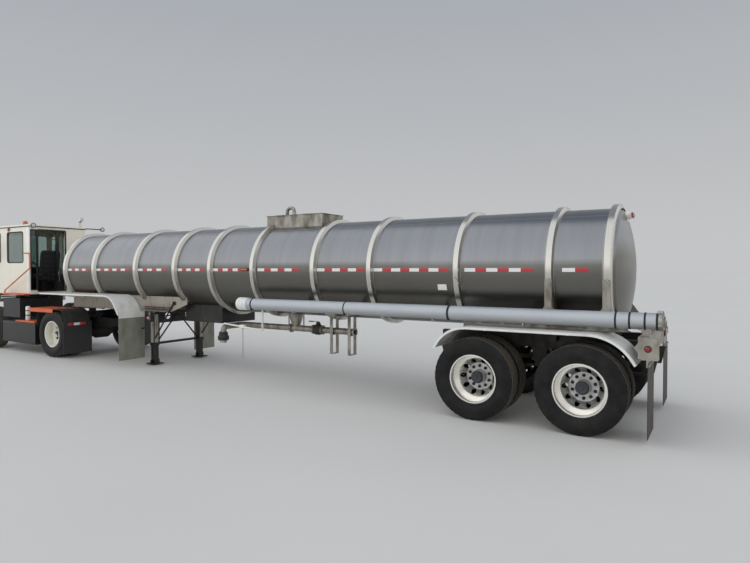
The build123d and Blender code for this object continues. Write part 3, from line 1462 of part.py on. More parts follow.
# Every node's file, and what it holds
NODES = {
    "tank_shell": tank_shell,
    "stiffener_rings": stiffener_rings,
    "front_subframe": front_subframe,
    "upper_coupler": upper_coupler,
    "rear_subframe": rear_subframe,
    "suspension": suspension,
    "trailer_axles": trailer_axles,
    "front_fenders": front_fenders,
    "rear_fenders": rear_fenders,
    "mud_flaps": mud_flaps,
    "rear_bumper": rear_bumper,
    "tail_lamps": tail_lamps,
    "hose_tube": hose_tube,
    "hose_tube_cap": hose_tube_cap,
    "landing_gear": landing_gear,
    "landing_legs": landing_legs,
    "spill_box": spill_box,
    "top_fittings": top_fittings,
    "manhole_lid": manhole_lid,
    "ladder": ladder,
    "product_piping": product_piping,
    "tractor_frame": tractor_frame,
    "fifth_wheel": fifth_wheel,
    "tractor_axles": tractor_axles,
    "cab_floor": cab_floor,
    "cab_rear_wall": cab_rear_wall,
    "cab_side_walls": cab_side_walls,
    "cab_front_wall": cab_front_wall,
    "cab_roof": cab_roof,
    "cab_glass": cab_glass,
    "rear_door": rear_door,
    "seat": seat,
    "dashboard": dashboard,
    "engine_block": engine_block,
    "hood": hood,
    "side_boxes": side_boxes,
    "steps_and_rails": steps_and_rails,
    "drive_fenders": drive_fenders,
    "exhaust_stack": exhaust_stack,
    "front_bumper": front_bumper,
    "mirrors": mirrors,
    "roof_lamps": roof_lamps,
}

# Twin wheels: name, x, tyre radius, rim radius, outside of the track
TWINS = [
    ("rear", 0, TRAILER_TYRE_R, TRAILER_RIM_R, TRAILER_TRACK_OUT),
    ("middle", AXLE_SPREAD, TRAILER_TYRE_R, TRAILER_RIM_R, TRAILER_TRACK_OUT),
    ("drive", DRIVE_X, TRACTOR_TYRE_R, TRACTOR_RIM_R, DRIVE_TRACK_OUT),
]

os.makedirs("parts", exist_ok=True)
for name, make in NODES.items():
    save(name, make())
for word, sign in SIDES:
    for axle, x, tyre_r, rim_r, track in TWINS:
        twin_wheels(f"{axle}_{word}", x, tyre_r, rim_r, track, sign)
    save(f"knuckle_{word}", [knuckle(sign)])
    steer_wheel(f"front_{word}", sign)
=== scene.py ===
"""Dresses an articulated tank lorry: its finishes, tyres, tape, lamps, fittings and the studio."""

import math

import bmesh
import bpy
from mathutils import Matrix, Vector


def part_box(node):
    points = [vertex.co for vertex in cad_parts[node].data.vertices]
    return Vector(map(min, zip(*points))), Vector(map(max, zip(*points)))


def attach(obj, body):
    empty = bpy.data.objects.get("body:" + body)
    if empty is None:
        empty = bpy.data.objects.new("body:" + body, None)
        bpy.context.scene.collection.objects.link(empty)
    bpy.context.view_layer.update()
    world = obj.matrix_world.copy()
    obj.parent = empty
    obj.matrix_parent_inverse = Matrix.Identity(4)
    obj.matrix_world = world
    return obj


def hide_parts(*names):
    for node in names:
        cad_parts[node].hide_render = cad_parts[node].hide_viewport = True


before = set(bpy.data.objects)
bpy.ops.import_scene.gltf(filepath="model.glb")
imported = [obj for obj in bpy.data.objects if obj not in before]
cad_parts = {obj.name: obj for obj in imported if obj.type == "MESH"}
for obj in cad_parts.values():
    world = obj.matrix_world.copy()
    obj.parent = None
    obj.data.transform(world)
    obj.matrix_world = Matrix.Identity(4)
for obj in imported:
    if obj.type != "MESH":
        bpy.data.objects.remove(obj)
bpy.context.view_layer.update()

bl_info = {
    "name": "Tank lorry dresser",
    "version": (1, 0, 0),
    "blender": (4, 5, 0),
    "location": "3D View > Sidebar > Tank lorry",
    "description": "Adds finishes, tyres, tape, lamps and fittings to a tank lorry",
    "category": "Object",
}

# Blender's unit is a metre, and the pieces are drawn in millimetres. X runs forward, Y to the left, Z up.
MM = 0.001
FRONT, BACK, LEFT, RIGHT, UP, DOWN = (1, 0, 0), (-1, 0, 0), (0, 1, 0), (0, -1, 0), (0, 0, 1), (0, 0, -1)
SIDES = (("left", 1), ("right", -1))
SIGNS = (1, -1)


# Places taken from the frame
def box_of(node):
    """The low and the high corner of a node's box."""
    low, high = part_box(node)
    return low / MM, high / MM


def middle(node):
    low, high = box_of(node)
    return (low + high) / 2


SHELL_LOW, SHELL_HIGH = box_of("tank_shell")
TANK_R = (SHELL_HIGH.y - SHELL_LOW.y) / 2
TANK_Z = (SHELL_HIGH.z + SHELL_LOW.z) / 2
RINGS_LOW, RINGS_HIGH = box_of("stiffener_rings")
RING_BASE = 112
RING_OUT = (RINGS_HIGH.y - RINGS_LOW.y) / 2
AXLE_X = middle("rear_left_tyres").x
# Distances from each stiffener ring to the next one forward, rear to front
BAYS = [710, 1300, 1460, 1110, 1360, 1090, 1010, 1230, 1470, 1130]
RING_XS = [RINGS_LOW.x + RING_BASE / 2]
for bay in BAYS:
    RING_XS.append(RING_XS[-1] + bay)


def spot(x, y, z):
    """A place ahead of the rearmost axle, to the left of the middle, and up."""
    return Vector((AXLE_X + x, y, z))


# Colours
def linear(code):
    """A linear colour from an sRGB hex code."""
    values = []
    for k in (0, 2, 4):
        c = int(code[k : k + 2], 16) / 255
        values.append(c / 12.92 if c <= 0.04045 else ((c + 0.055) / 1.055) ** 2.4)
    return tuple(values)


def rgba(colour):
    """Four numbers from an sRGB hex code or from a linear colour of the panel's."""
    return (*(linear(colour) if isinstance(colour, str) else colour), 1.0)


# Kinds of node: Blender's name, its settings, its inputs in the order they are given, and the output in use
PLACE = ("ShaderNodeTexCoord", {}, (), "Object")
OWN_NORMAL = ("ShaderNodeTexCoord", {}, (), "Normal")
NORMAL = ("ShaderNodeNewGeometry", {}, (), "Normal")
TRUE_NORMAL = ("ShaderNodeNewGeometry", {}, (), "True Normal")
MAPPING = ("ShaderNodeMapping", {}, ("Vector", "Scale", "Location"), 0)
NOISE = ("ShaderNodeTexNoise", {}, ("Vector", "Scale", "Detail"), "Fac")
BARS = ("ShaderNodeTexVoronoi", {"distance": "MANHATTAN"}, ("Vector", "Scale"), "Distance")
PRISMS = ("ShaderNodeTexVoronoi", {"distance": "CHEBYCHEV"}, ("Vector", "Scale"), "Distance")
CELLS = ("ShaderNodeTexVoronoi", {"feature": "DISTANCE_TO_EDGE"}, ("Vector", "Scale"), "Distance")
WEAVE = ("ShaderNodeTexWave", {}, ("Vector", "Scale", "Distortion"), "Fac")
# From low and high to 0 and 1, or to two ends of its own
RANGE = ("ShaderNodeMapRange", {}, (0, 1, 2, 3, 4), 0)
MIX = ("ShaderNodeMix", {"data_type": "RGBA"}, (0, 6, 7), 2)
MIX_NORMALS = ("ShaderNodeMix", {"data_type": "VECTOR"}, (0, 4, 5), 1)
X_OF, Y_OF, Z_OF = (("ShaderNodeSeparateXYZ", {}, (0,), axis) for axis in "XYZ")
TIMES, PLUS, LARGER, ABSOLUTE, SINE = (
    ("ShaderNodeMath", {"operation": operation}, (0, 1), 0)
    for operation in ("MULTIPLY", "ADD", "MAXIMUM", "ABSOLUTE", "SINE")
)
PARTS_OF = ("ShaderNodeVectorMath", {"operation": "MULTIPLY"}, (0, 1), 0)
DISTANCE = ("ShaderNodeVectorMath", {"operation": "DISTANCE"}, (0, 1), "Value")
BUMP = ("ShaderNodeBump", {}, ("Height", "Distance", "Normal"), 0)
SHADER = ("ShaderNodeBsdfPrincipled", {}, ("Base Color", "Metallic", "Roughness"), 0)
SURFACE = ("ShaderNodeOutputMaterial", {}, ("Surface",), None)


def give(socket, value):
    """Gives an input a link, a colour or a number."""
    if isinstance(value, bpy.types.NodeSocket):
        socket.id_data.links.new(value, socket)
    else:
        socket.default_value = rgba(value) if socket.type == "RGBA" else value


def add(tree, kind, *values):
    """Adds a node of one of the kinds above and returns the output in use."""
    name, settings, inputs, output = kind
    made = tree.nodes.new(name)
    for setting, value in settings.items():
        setattr(made, setting, value)
    for key, value in zip(inputs, values):
        give(made.inputs[key], value)
    return made.outputs[output] if made.outputs else None


def new_material(name, code, metallic=0.0, roughness=0.5, **sockets):
    """A material with one shader, whose constant values are set on its own sockets."""
    material = bpy.data.materials.new(name)
    material.use_nodes = True
    tree = material.node_tree
    tree.nodes.clear()
    surface = add(tree, SHADER, code, metallic, roughness)
    for key, value in sockets.items():
        give(surface.node.inputs[key.replace("_", " ")], value)
    add(tree, SURFACE, surface)
    return material, tree, surface.node


def wear(shader, colour=None, roughness=None, height=None, depth_mm=0.0, *normal):
    """Gives a shader its patterns: its colour, its roughness, and a relief depth_mm deep."""
    relief = height and add(shader.id_data, BUMP, height, depth_mm * MM, *normal)
    for name, pattern in (("Base Color", colour), ("Roughness", roughness), ("Normal", relief)):
        if pattern:
            give(shader.inputs[name], pattern)


def cloud(tree, size_mm, stretch=(1, 1, 1), detail=4.0, offset=(0, 0, 0)):
    """Soft patches about size_mm across, longer along an axis whose stretch is over 1."""
    scale = [1 / (size_mm * MM * s) for s in stretch]
    return add(tree, NOISE, add(tree, MAPPING, add(tree, PLACE), scale, offset), 1.0, detail)


def facing_up(tree, *normal):
    """1 on what faces up, 0 on what faces down."""
    return add(tree, RANGE, add(tree, Z_OF, *(normal or [add(tree, NORMAL)])), -1.0, 1.0)


def height(tree):
    return add(tree, Z_OF, add(tree, PLACE))


def away_from(tree, parts, centre):
    """How far a point is from an axis through centre; parts holds 0 for the way that the axis runs."""
    axis = [c * p * MM for c, p in zip(centre, parts)]
    return add(tree, DISTANCE, add(tree, PARTS_OF, add(tree, PLACE), parts), axis)


# Materials, each after the real one
def rolled_stainless(colour, film_colour):
    """Austenitic stainless sheet, cold rolled and pickled: satin, with faint rolling lines round the
    barrel and plates that wander a little from true. Below the level of the tape it is painted a darker brown
    grey, a painted reflection of the ground, and darker still where it faces down, a painted shade.
    The lines are drawn 90 mm apart, because real ones are too fine to show."""
    material, tree, shader = new_material("rolled_stainless_satin", colour, 1.0, 0.31)
    streaks = cloud(tree, 90, (1, 16, 16), 5.0)
    stains = cloud(tree, 900, (1, 1.2, 0.8), 4.0, (3, 1, 2))
    # At the middle of each head the facets all meet in a point, where the smoothed normal isn't flat
    off_middle = away_from(tree, (0, 1, 1), (0, 0, TANK_Z))
    past_point = add(tree, RANGE, off_middle, 90 * MM, 140 * MM)
    flat = add(tree, MIX_NORMALS, past_point, add(tree, TRUE_NORMAL), add(tree, NORMAL))
    up = facing_up(tree, flat)
    # Painted reflection: below the level of the tape the barrel takes a darker brown grey that stands for the
    # ground reflected in it
    below = add(tree, RANGE, up, 0.585, 0.535)
    film = add(tree, TIMES, below, add(tree, RANGE, stains, 0.2, 0.7, 0.8, 1.0))
    clean = add(tree, MIX, add(tree, RANGE, streaks, 0.3, 0.8), colour, "8A8B8E")
    # Painted shade: where the barrel faces down it is darker still
    filmed = add(tree, MIX, add(tree, RANGE, up, 0.3, 0.05), film_colour, "3E3B36")
    rough = add(tree, RANGE, add(tree, PLUS, streaks, stains), 0.6, 1.4, 0.27, 0.36)
    waves = cloud(tree, 1300, (0.9, 1.4, 1.4), 2.0, (5, 5, 5))
    lines = add(tree, TIMES, cloud(tree, 9, (1, 60, 60), 2.0), 0.01)
    wear(shader, add(tree, MIX, film, clean, filmed), rough, add(tree, PLUS, waves, lines), 7.0, flat)
    return material


def polished_stainless():
    """The same steel, buffed: bright, with fine buffing lines and a dull film of road dirt low down."""
    material, tree, shader = new_material("polished_stainless", "CBC8C0", 1.0, 0.24)
    film = cloud(tree, 200, (1, 2, 2), 4.0)
    low = add(tree, RANGE, height(tree), TANK_Z * MM, (TANK_Z - TANK_R) * MM, 0.0, 0.5)
    dirty = add(tree, TIMES, low, add(tree, RANGE, film, 0.35, 0.7))
    colour = add(tree, MIX, dirty, "CFCCC4", "918B7E")
    rough = add(tree, RANGE, film, 0.3, 0.7, 0.2, 0.3)
    wear(shader, colour, rough, cloud(tree, 500, (1, 2, 2), 2.0), 0.8)
    return material


def dull_stainless(name, grime_top):
    """Stainless sheet on brackets and pipework that nobody polishes: grey-beige with dried spray, and
    painted near black up to the given top height in metres, a painted shade under the fenders and between the
    tyres."""
    material, tree, shader = new_material(name, "8C877D", 0.7, 0.45)
    spray = cloud(tree, 120, (1, 1, 2), 5.0)
    sheet = add(tree, MIX, add(tree, RANGE, spray, 0.35, 0.7), "A8A49A", "7F786C")
    # Painted shade: below the given top height, along a wavy edge, the sheet is painted near black
    wavy = add(tree, PLUS, height(tree), add(tree, TIMES, spray, 0.12))
    grime = add(tree, RANGE, wavy, grime_top + 0.1, grime_top + 0.02, 0.0, 0.93)
    rough = add(tree, RANGE, spray, 0.35, 0.7, 0.4, 0.7)
    wear(shader, add(tree, MIX, grime, sheet, "191816"), rough, cloud(tree, 14, detail=3.0), 0.2)
    return material


def mill_aluminium(colour):
    """Extruded aluminium tube and sheet as it leaves the mill, weathered: pale blue-grey and soft,
    with lengthwise die lines, drawn 7 mm apart so that they show, and chalky patches."""
    material, tree, shader = new_material("mill_aluminium_weathered", colour, 0.5, 0.5)
    chalk = cloud(tree, 260, (3, 1, 1), 4.0)
    # Darker, in brown-grey patches, where it faces down
    under = add(tree, TIMES, add(tree, RANGE, facing_up(tree), 0.42, 0.1), 0.5)
    dirty = add(tree, TIMES, under, add(tree, RANGE, chalk, 0.3, 0.65))
    pale = add(tree, MIX, add(tree, RANGE, chalk, 0.3, 0.7), colour, "BCBFC2")
    rough = add(tree, RANGE, chalk, 0.3, 0.7, 0.44, 0.56)
    wear(shader, add(tree, MIX, dirty, pale, "857F73"), rough, cloud(tree, 7, (120, 1, 1), 2.0), 0.15)
    return material


def enamel(name, code, dirt_code, roughness, amount=0.6, coat=0.15, ledges=0.0):
    """Two-pack enamel, sprayed on metal: a smooth coat with slight orange peel, and dust and
    splashes that gather low down and on ledges."""
    material, tree, shader = new_material(name, code, 0.0, roughness, Coat_Weight=coat, Coat_Roughness=0.2)
    splash = add(tree, RANGE, cloud(tree, 130, (1, 1, 2.5), 6.0), 0.42, 0.72)
    broad = add(tree, RANGE, cloud(tree, 900, (1, 1, 1), 3.0, (2, 7, 1)), 0.3, 0.6)
    low = add(tree, RANGE, height(tree), 2.2, 0.3, 0.15, 1.0)
    dust = add(tree, TIMES, add(tree, TIMES, add(tree, TIMES, splash, broad), low), amount)
    dust = add(tree, LARGER, dust, add(tree, RANGE, facing_up(tree), 0.8, 1.0, 0.0, ledges))
    rough = add(tree, RANGE, dust, 0.0, 0.6, roughness, min(0.85, roughness + 0.3))
    wear(shader, add(tree, MIX, dust, code, dirt_code), rough, cloud(tree, 6, detail=1.0), 0.06)
    return material


# Height in metres above which the deck's node is handrail
RAIL_FOOT = 1.422


def tread_plate(name, code, rail_code, dirt_code):
    """Steel tread plate under enamel: raised bars 30 mm apart that show bare where boots rub them. The
    handrail of the same node has faded to salmon."""
    material, tree, shader = new_material(name, code, 0.0, 0.5)
    bars = add(tree, RANGE, add(tree, BARS, add(tree, PLACE), 1 / (30 * MM)), 0.34, 0.28)
    raised = add(tree, TIMES, bars, add(tree, RANGE, facing_up(tree), 0.9, 1.0))
    dirt = add(tree, RANGE, cloud(tree, 220, detail=5.0), 0.4, 0.75, 0.0, 0.6)
    dusty, faded = (add(tree, MIX, dirt, under, dirt_code) for under in (code, rail_code))
    worn = add(tree, MIX, add(tree, TIMES, raised, 0.3), dusty, "B9A79A")
    rail = add(tree, RANGE, height(tree), RAIL_FOOT, RAIL_FOOT + 0.01)
    wear(shader, add(tree, MIX, rail, worn, faded), None, raised, 1.6)
    return material


def tyre_rubber():
    """Tyre rubber: near black and satin on the walls with moulded rings, browner and paler on the
    tread, partly road dust where the road has scrubbed it and partly a painted highlight of light grazing the
    tread."""
    material, tree, shader = new_material("tyre_rubber", "151516", 0.0, 0.6, Specular_IOR_Level=0.3)
    across = add(tree, ABSOLUTE, add(tree, Y_OF, add(tree, OWN_NORMAL)))
    # The tread is painted paler: partly road dust, partly a painted highlight of light grazing the tread
    tread = add(tree, RANGE, across, 0.75, 0.25, 0.0, 0.45)
    patches = add(tree, RANGE, cloud(tree, 150, detail=5.0), 0.4, 0.75, 0.0, 0.05)
    dust = add(tree, LARGER, tread, patches)
    rough = add(tree, RANGE, dust, 0.0, 0.6, 0.55, 0.9)
    wear(shader, add(tree, MIX, dust, "08080A", "8A8274"), rough, cloud(tree, 4, detail=3.0), 0.12)
    return material


def dusty_black(name, code, dust_code, roughness, grain_mm, depth_mm, amount):
    """Black chassis enamel, rubber or moulded plastic that has stood outdoors: road dust lies on
    what faces up and in the grain."""
    material, tree, shader = new_material(name, code, 0.0, roughness)
    up = add(tree, RANGE, facing_up(tree), 0.45, 1.0, 0.15, 1.0)
    patches = add(tree, RANGE, cloud(tree, 170, detail=5.0), 0.35, 0.7)
    dust = add(tree, TIMES, add(tree, TIMES, up, patches), amount)
    rough = add(tree, RANGE, dust, 0.0, 0.7, roughness, 0.9)
    wear(shader, add(tree, MIX, dust, code, dust_code), rough, cloud(tree, grain_mm, detail=3.0), depth_mm)
    return material


def flap_rubber():
    """Thick rubber sheet with a moulded grain: the front flaps greenish grey with dried dust, the rear
    ones black with rust run down from their clamps."""
    material, tree, shader = new_material("flap_rubber_sheet", "222120", 0.0, 0.7)
    front = add(tree, RANGE, add(tree, X_OF, add(tree, PLACE)), -1.0, 0.0)
    dust = add(tree, RANGE, cloud(tree, 160, (1, 1, 2.2), 5.0), 0.3, 0.7)
    runs = add(tree, RANGE, cloud(tree, 30, (1, 1, 14), 3.0, (4, 1, 0)), 0.48, 0.74)
    dusty = add(tree, MIX, dust, "6E6E62", "8B8A7C")
    black = add(tree, MIX, add(tree, TIMES, runs, 0.5), "38352F", "80684E")
    wear(shader, add(tree, MIX, front, black, dusty), None, cloud(tree, 5, detail=3.0), 0.3)
    return material


def bare_steel(name, code, stain_code, roughness, metallic=0.6):
    """Galvanised or primed steel: spangle dulled by weather, with rust that weeps downwards."""
    material, tree, shader = new_material(name, code, metallic, roughness)
    weep = add(tree, RANGE, cloud(tree, 45, (1, 1, 6), 5.0), 0.48, 0.7)
    broad = add(tree, RANGE, cloud(tree, 350, (1, 1, 1), 3.0, (1, 4, 9)), 0.4, 0.65)
    stain = add(tree, TIMES, weep, broad)
    rough = add(tree, RANGE, stain, 0.0, 0.8, roughness, 0.85)
    wear(shader, add(tree, MIX, stain, code, stain_code), rough, cloud(tree, 18, detail=4.0), 0.3)
    return material


# Radius of a wheel's dulled disc, and turned lines per metre of radius, far coarser than real ones
DISC_R = 236
TURNED_LINES = 900.0


def forged_aluminium(name, centre):
    """Forged wheels, machined and polished: a bright outer rim round a disc that brake dust greys, and
    an inner wheel painted near black as painted shade, which is what makes the hand holes read dark."""
    material, tree, shader = new_material(name, "DEDCD6", 0.9, 0.24)
    dust = cloud(tree, 70, detail=4.0)
    off = away_from(tree, (1, 0, 1), centre)
    disc = add(tree, RANGE, off, (DISC_R + 6) * MM, (DISC_R - 6) * MM)
    grey = add(tree, MIX, add(tree, RANGE, dust, 0.3, 0.7), "CFCFCD", "A9A8A4")
    outer = add(tree, MIX, disc, "F6F3EC", grey)
    # Painted shade: the inner wheel of each pair, seen through the hand holes, is painted near black
    across = add(tree, ABSOLUTE, add(tree, Y_OF, add(tree, PLACE)))
    inner = add(tree, RANGE, across, (abs(centre.y) + 1) * MM, (abs(centre.y) - 5) * MM)
    rough = add(tree, RANGE, disc, 0.0, 1.0, 0.22, 0.42)
    turning = add(tree, SINE, add(tree, TIMES, off, TURNED_LINES))
    wear(shader, add(tree, MIX, inner, outer, "1D1B19"), rough, turning, 0.03)
    return material


def window_glass():
    """Green-tinted tempered glass: clear, smooth and a little darker than air."""
    return new_material("tempered_glass_tinted", "8FA39C", 0.0, 0.03, Transmission_Weight=1.0, IOR=1.5)[0]


def lens(name, code):
    """Moulded acrylic lens over a reflector: deep colour, glossy, with moulded prisms 9 mm across."""
    material, tree, shader = new_material(
        name, code, 0.0, 0.12, Coat_Weight=0.8, Coat_Roughness=0.04, Transmission_Weight=0.25, IOR=1.49
    )
    wear(shader, None, None, add(tree, PRISMS, add(tree, PLACE), 1 / (9 * MM)), 1.2)
    return material


def reflective_tape(name, code):
    """Prismatic retroreflective tape: a clear film over cells sealed in a grid. Real cells are about
    4 mm across, and they are drawn at 9 mm so that they show."""
    material, tree, shader = new_material(name, code, 0.0, 0.25, Coat_Weight=0.6, Coat_Roughness=0.08)
    edge = add(tree, RANGE, add(tree, CELLS, add(tree, PLACE), 1 / (9 * MM)), 0.0, 0.08)
    wear(shader, add(tree, MIX, edge, add(tree, MIX, 0.25, code, "101010"), code))
    return material


def seat_cloth():
    """Woven polyester seat cloth in black: a basket weave with a soft sheen. A real one repeats each
    3 mm, and it is drawn about six times as coarse so that it shows."""
    material, tree, shader = new_material("woven_seat_cloth", "1B1C20", 0.0, 0.85, Sheen_Weight=0.4)
    weave = add(tree, WEAVE, add(tree, PLACE), 1 / (3 * MM) / 20, 0.4)
    wear(shader, add(tree, MIX, weave, "17181B", "2B2C31"), None, weave, 0.8)
    return material


def studio_floor():
    """A seamless painted studio floor: pale, matt, with no mark on it."""
    material, tree, shader = new_material("studio_floor_paint", "D4D1CB", 0.0, 0.75)
    patches = add(tree, RANGE, cloud(tree, 2500, detail=2.0), 0.3, 0.7)
    wear(shader, add(tree, MIX, patches, "D3D0CA", "D6D3CD"))
    return material


def mirror_glass():
    """Silvered glass: a near perfect mirror with a faint film of dust."""
    material, tree, shader = new_material("silvered_mirror_glass", "D5DADC", 1.0, 0.04)
    wear(shader, None, add(tree, RANGE, cloud(tree, 60, detail=4.0), 0.4, 0.8, 0.03, 0.16))
    return material


MATERIALS = {}


def make_materials(colours):
    """Every finish, once."""
    MATERIALS.update(
        # The barrel's second colour is its painted reflection of the ground on the lower half
        shell=rolled_stainless(colours.shell, colours.film),
        polished=polished_stainless(),
        bracket=dull_stainless("stainless_bracket_sheet", 0.0),
        # The rear subframe's sheet is painted near black below 1.16 m, a painted shade under the fenders and
        # between the tyres
        wheel_frame=dull_stainless("stainless_frame_sheet_painted_shade", 1.16),
        aluminium=mill_aluminium(colours.aluminium),
        white=enamel("fender_enamel_white", colours.fender, "8D8474", 0.34, 0.6, 0.15, 0.22),
        cream=enamel("cab_enamel_cream", colours.cab, "9C917B", 0.3, 0.35, 0.35, 0.2),
        post_white=enamel("trim_enamel_white", "EDEBE4", "8D8474", 0.32, 0.4),
        tread=tread_plate("deck_tread_plate_orange", colours.step, "D9805E", "7A4A35"),
        maroon=enamel("flange_enamel_maroon", "5C1F1B", "4A3A34", 0.5, 0.6),
        chassis=dusty_black("chassis_enamel_black", "131416", "5E574D", 0.42, 12, 0.1, 0.35),
        gloss_black=dusty_black("door_frame_enamel_black", "121315", "45413B", 0.3, 8, 0.04, 0.2),
        rubber=tyre_rubber(),
        gasket=dusty_black("window_gasket_rubber", "101011", "3E3A35", 0.5, 3, 0.05, 0.2),
        flap=flap_rubber(),
        plastic=dusty_black("moulded_polypropylene", "2A2A29", "57534B", 0.5, 3, 0.15, 0.35),
        white_plastic=enamel("moulded_cap_white", "E6E5E1", "9A968C", 0.45, 0.5, 0.0, 0.2),
        cast=dusty_black("cast_iron_oiled", "262422", "5F5344", 0.62, 8, 0.5, 0.6),
        hub_grey=dusty_black("hub_cap_enamel_grey", "2E3238", "5A5850", 0.4, 5, 0.08, 0.4),
        steel=bare_steel("primed_steel_beige", "A29C91", "7C6A55", 0.6, 0.3),
        zinc=bare_steel("zinc_plated_steel", "A9A79F", "7B5434", 0.38, 0.9),
        dark_steel=bare_steel("leg_steel_dark", "1F1E1D", "57514A", 0.5, 0.2),
        rear_wheel=forged_aluminium("forged_wheel_rear", middle("rear_left_tyres")),
        middle_wheel=forged_aluminium("forged_wheel_middle", middle("middle_left_tyres")),
        wheel_white=enamel("wheel_enamel_white", "EFEBDE", "8A7F6E", 0.34, 0.5, 0.2),
        glass=window_glass(),
        mirror=mirror_glass(),
        red_lens=lens("acrylic_lens_red", colours.red_lens),
        amber_lens=lens("acrylic_lens_amber", colours.amber_lens),
        clear_lens=lens("acrylic_lens_clear", "DCDCD8"),
        tape_red=reflective_tape("reflective_tape_red", colours.tape_red),
        tape_white=reflective_tape("reflective_tape_white", "E8E8E4"),
        cloth=seat_cloth(),
        floor=studio_floor(),
    )


# What each modelled node is finished in
NODE_FINISH = {
    "shell": ["tank_shell", "manhole_lid"],
    "polished": ["stiffener_rings", "exhaust_stack"],
    "bracket": ["rear_bumper", "hose_tube_cap", "product_piping", "spill_box", "top_fittings"],
    "wheel_frame": ["rear_subframe"],
    "aluminium": ["hose_tube", "ladder"],
    "steel": ["upper_coupler", "front_subframe"],
    "dark_steel": ["landing_gear", "landing_legs"],
    "cast": ["suspension", "trailer_axles", "tractor_axles", "knuckle_left", "knuckle_right", "engine_block"],
    "white": ["front_fenders", "rear_fenders"],
    "cream": ["cab_rear_wall", "cab_side_walls", "cab_front_wall", "cab_roof", "hood"],
    "chassis": ["tractor_frame", "fifth_wheel", "side_boxes", "mirrors", "cab_floor", "front_bumper"],
    "gloss_black": ["rear_door"],
    "plastic": ["drive_fenders", "dashboard"],
    "tread": ["steps_and_rails"],
    "glass": ["cab_glass"],
    "cloth": ["seat"],
    "red_lens": ["tail_lamps"],
    "amber_lens": ["roof_lamps"],
    "flap": ["mud_flaps"],
    "rubber": [f"{a}_{s}_tyres" for a in ("rear", "middle", "drive") for s in ("left", "right")]
    + ["front_left_tyre", "front_right_tyre"],
    "rear_wheel": ["rear_left_wheels", "rear_right_wheels"],
    "middle_wheel": ["middle_left_wheels", "middle_right_wheels"],
    "wheel_white": ["drive_left_wheels", "drive_right_wheels", "front_left_wheel", "front_right_wheel"],
}


# Mesh helpers
# The widest eased edge, and the widest bend in a pipe, as shares of what they are cut from
EDGE_SHARE = 0.4
BEND_SHARE = 0.49
# Vertices closer than this, in metres, are one
WELD = 1e-6


def circle(steps, turn=0.0):
    """The cosine and sine of each angle round a circle."""
    return [(math.cos(a), math.sin(a)) for a in (2 * math.pi * (k + turn) / steps for k in range(steps))]


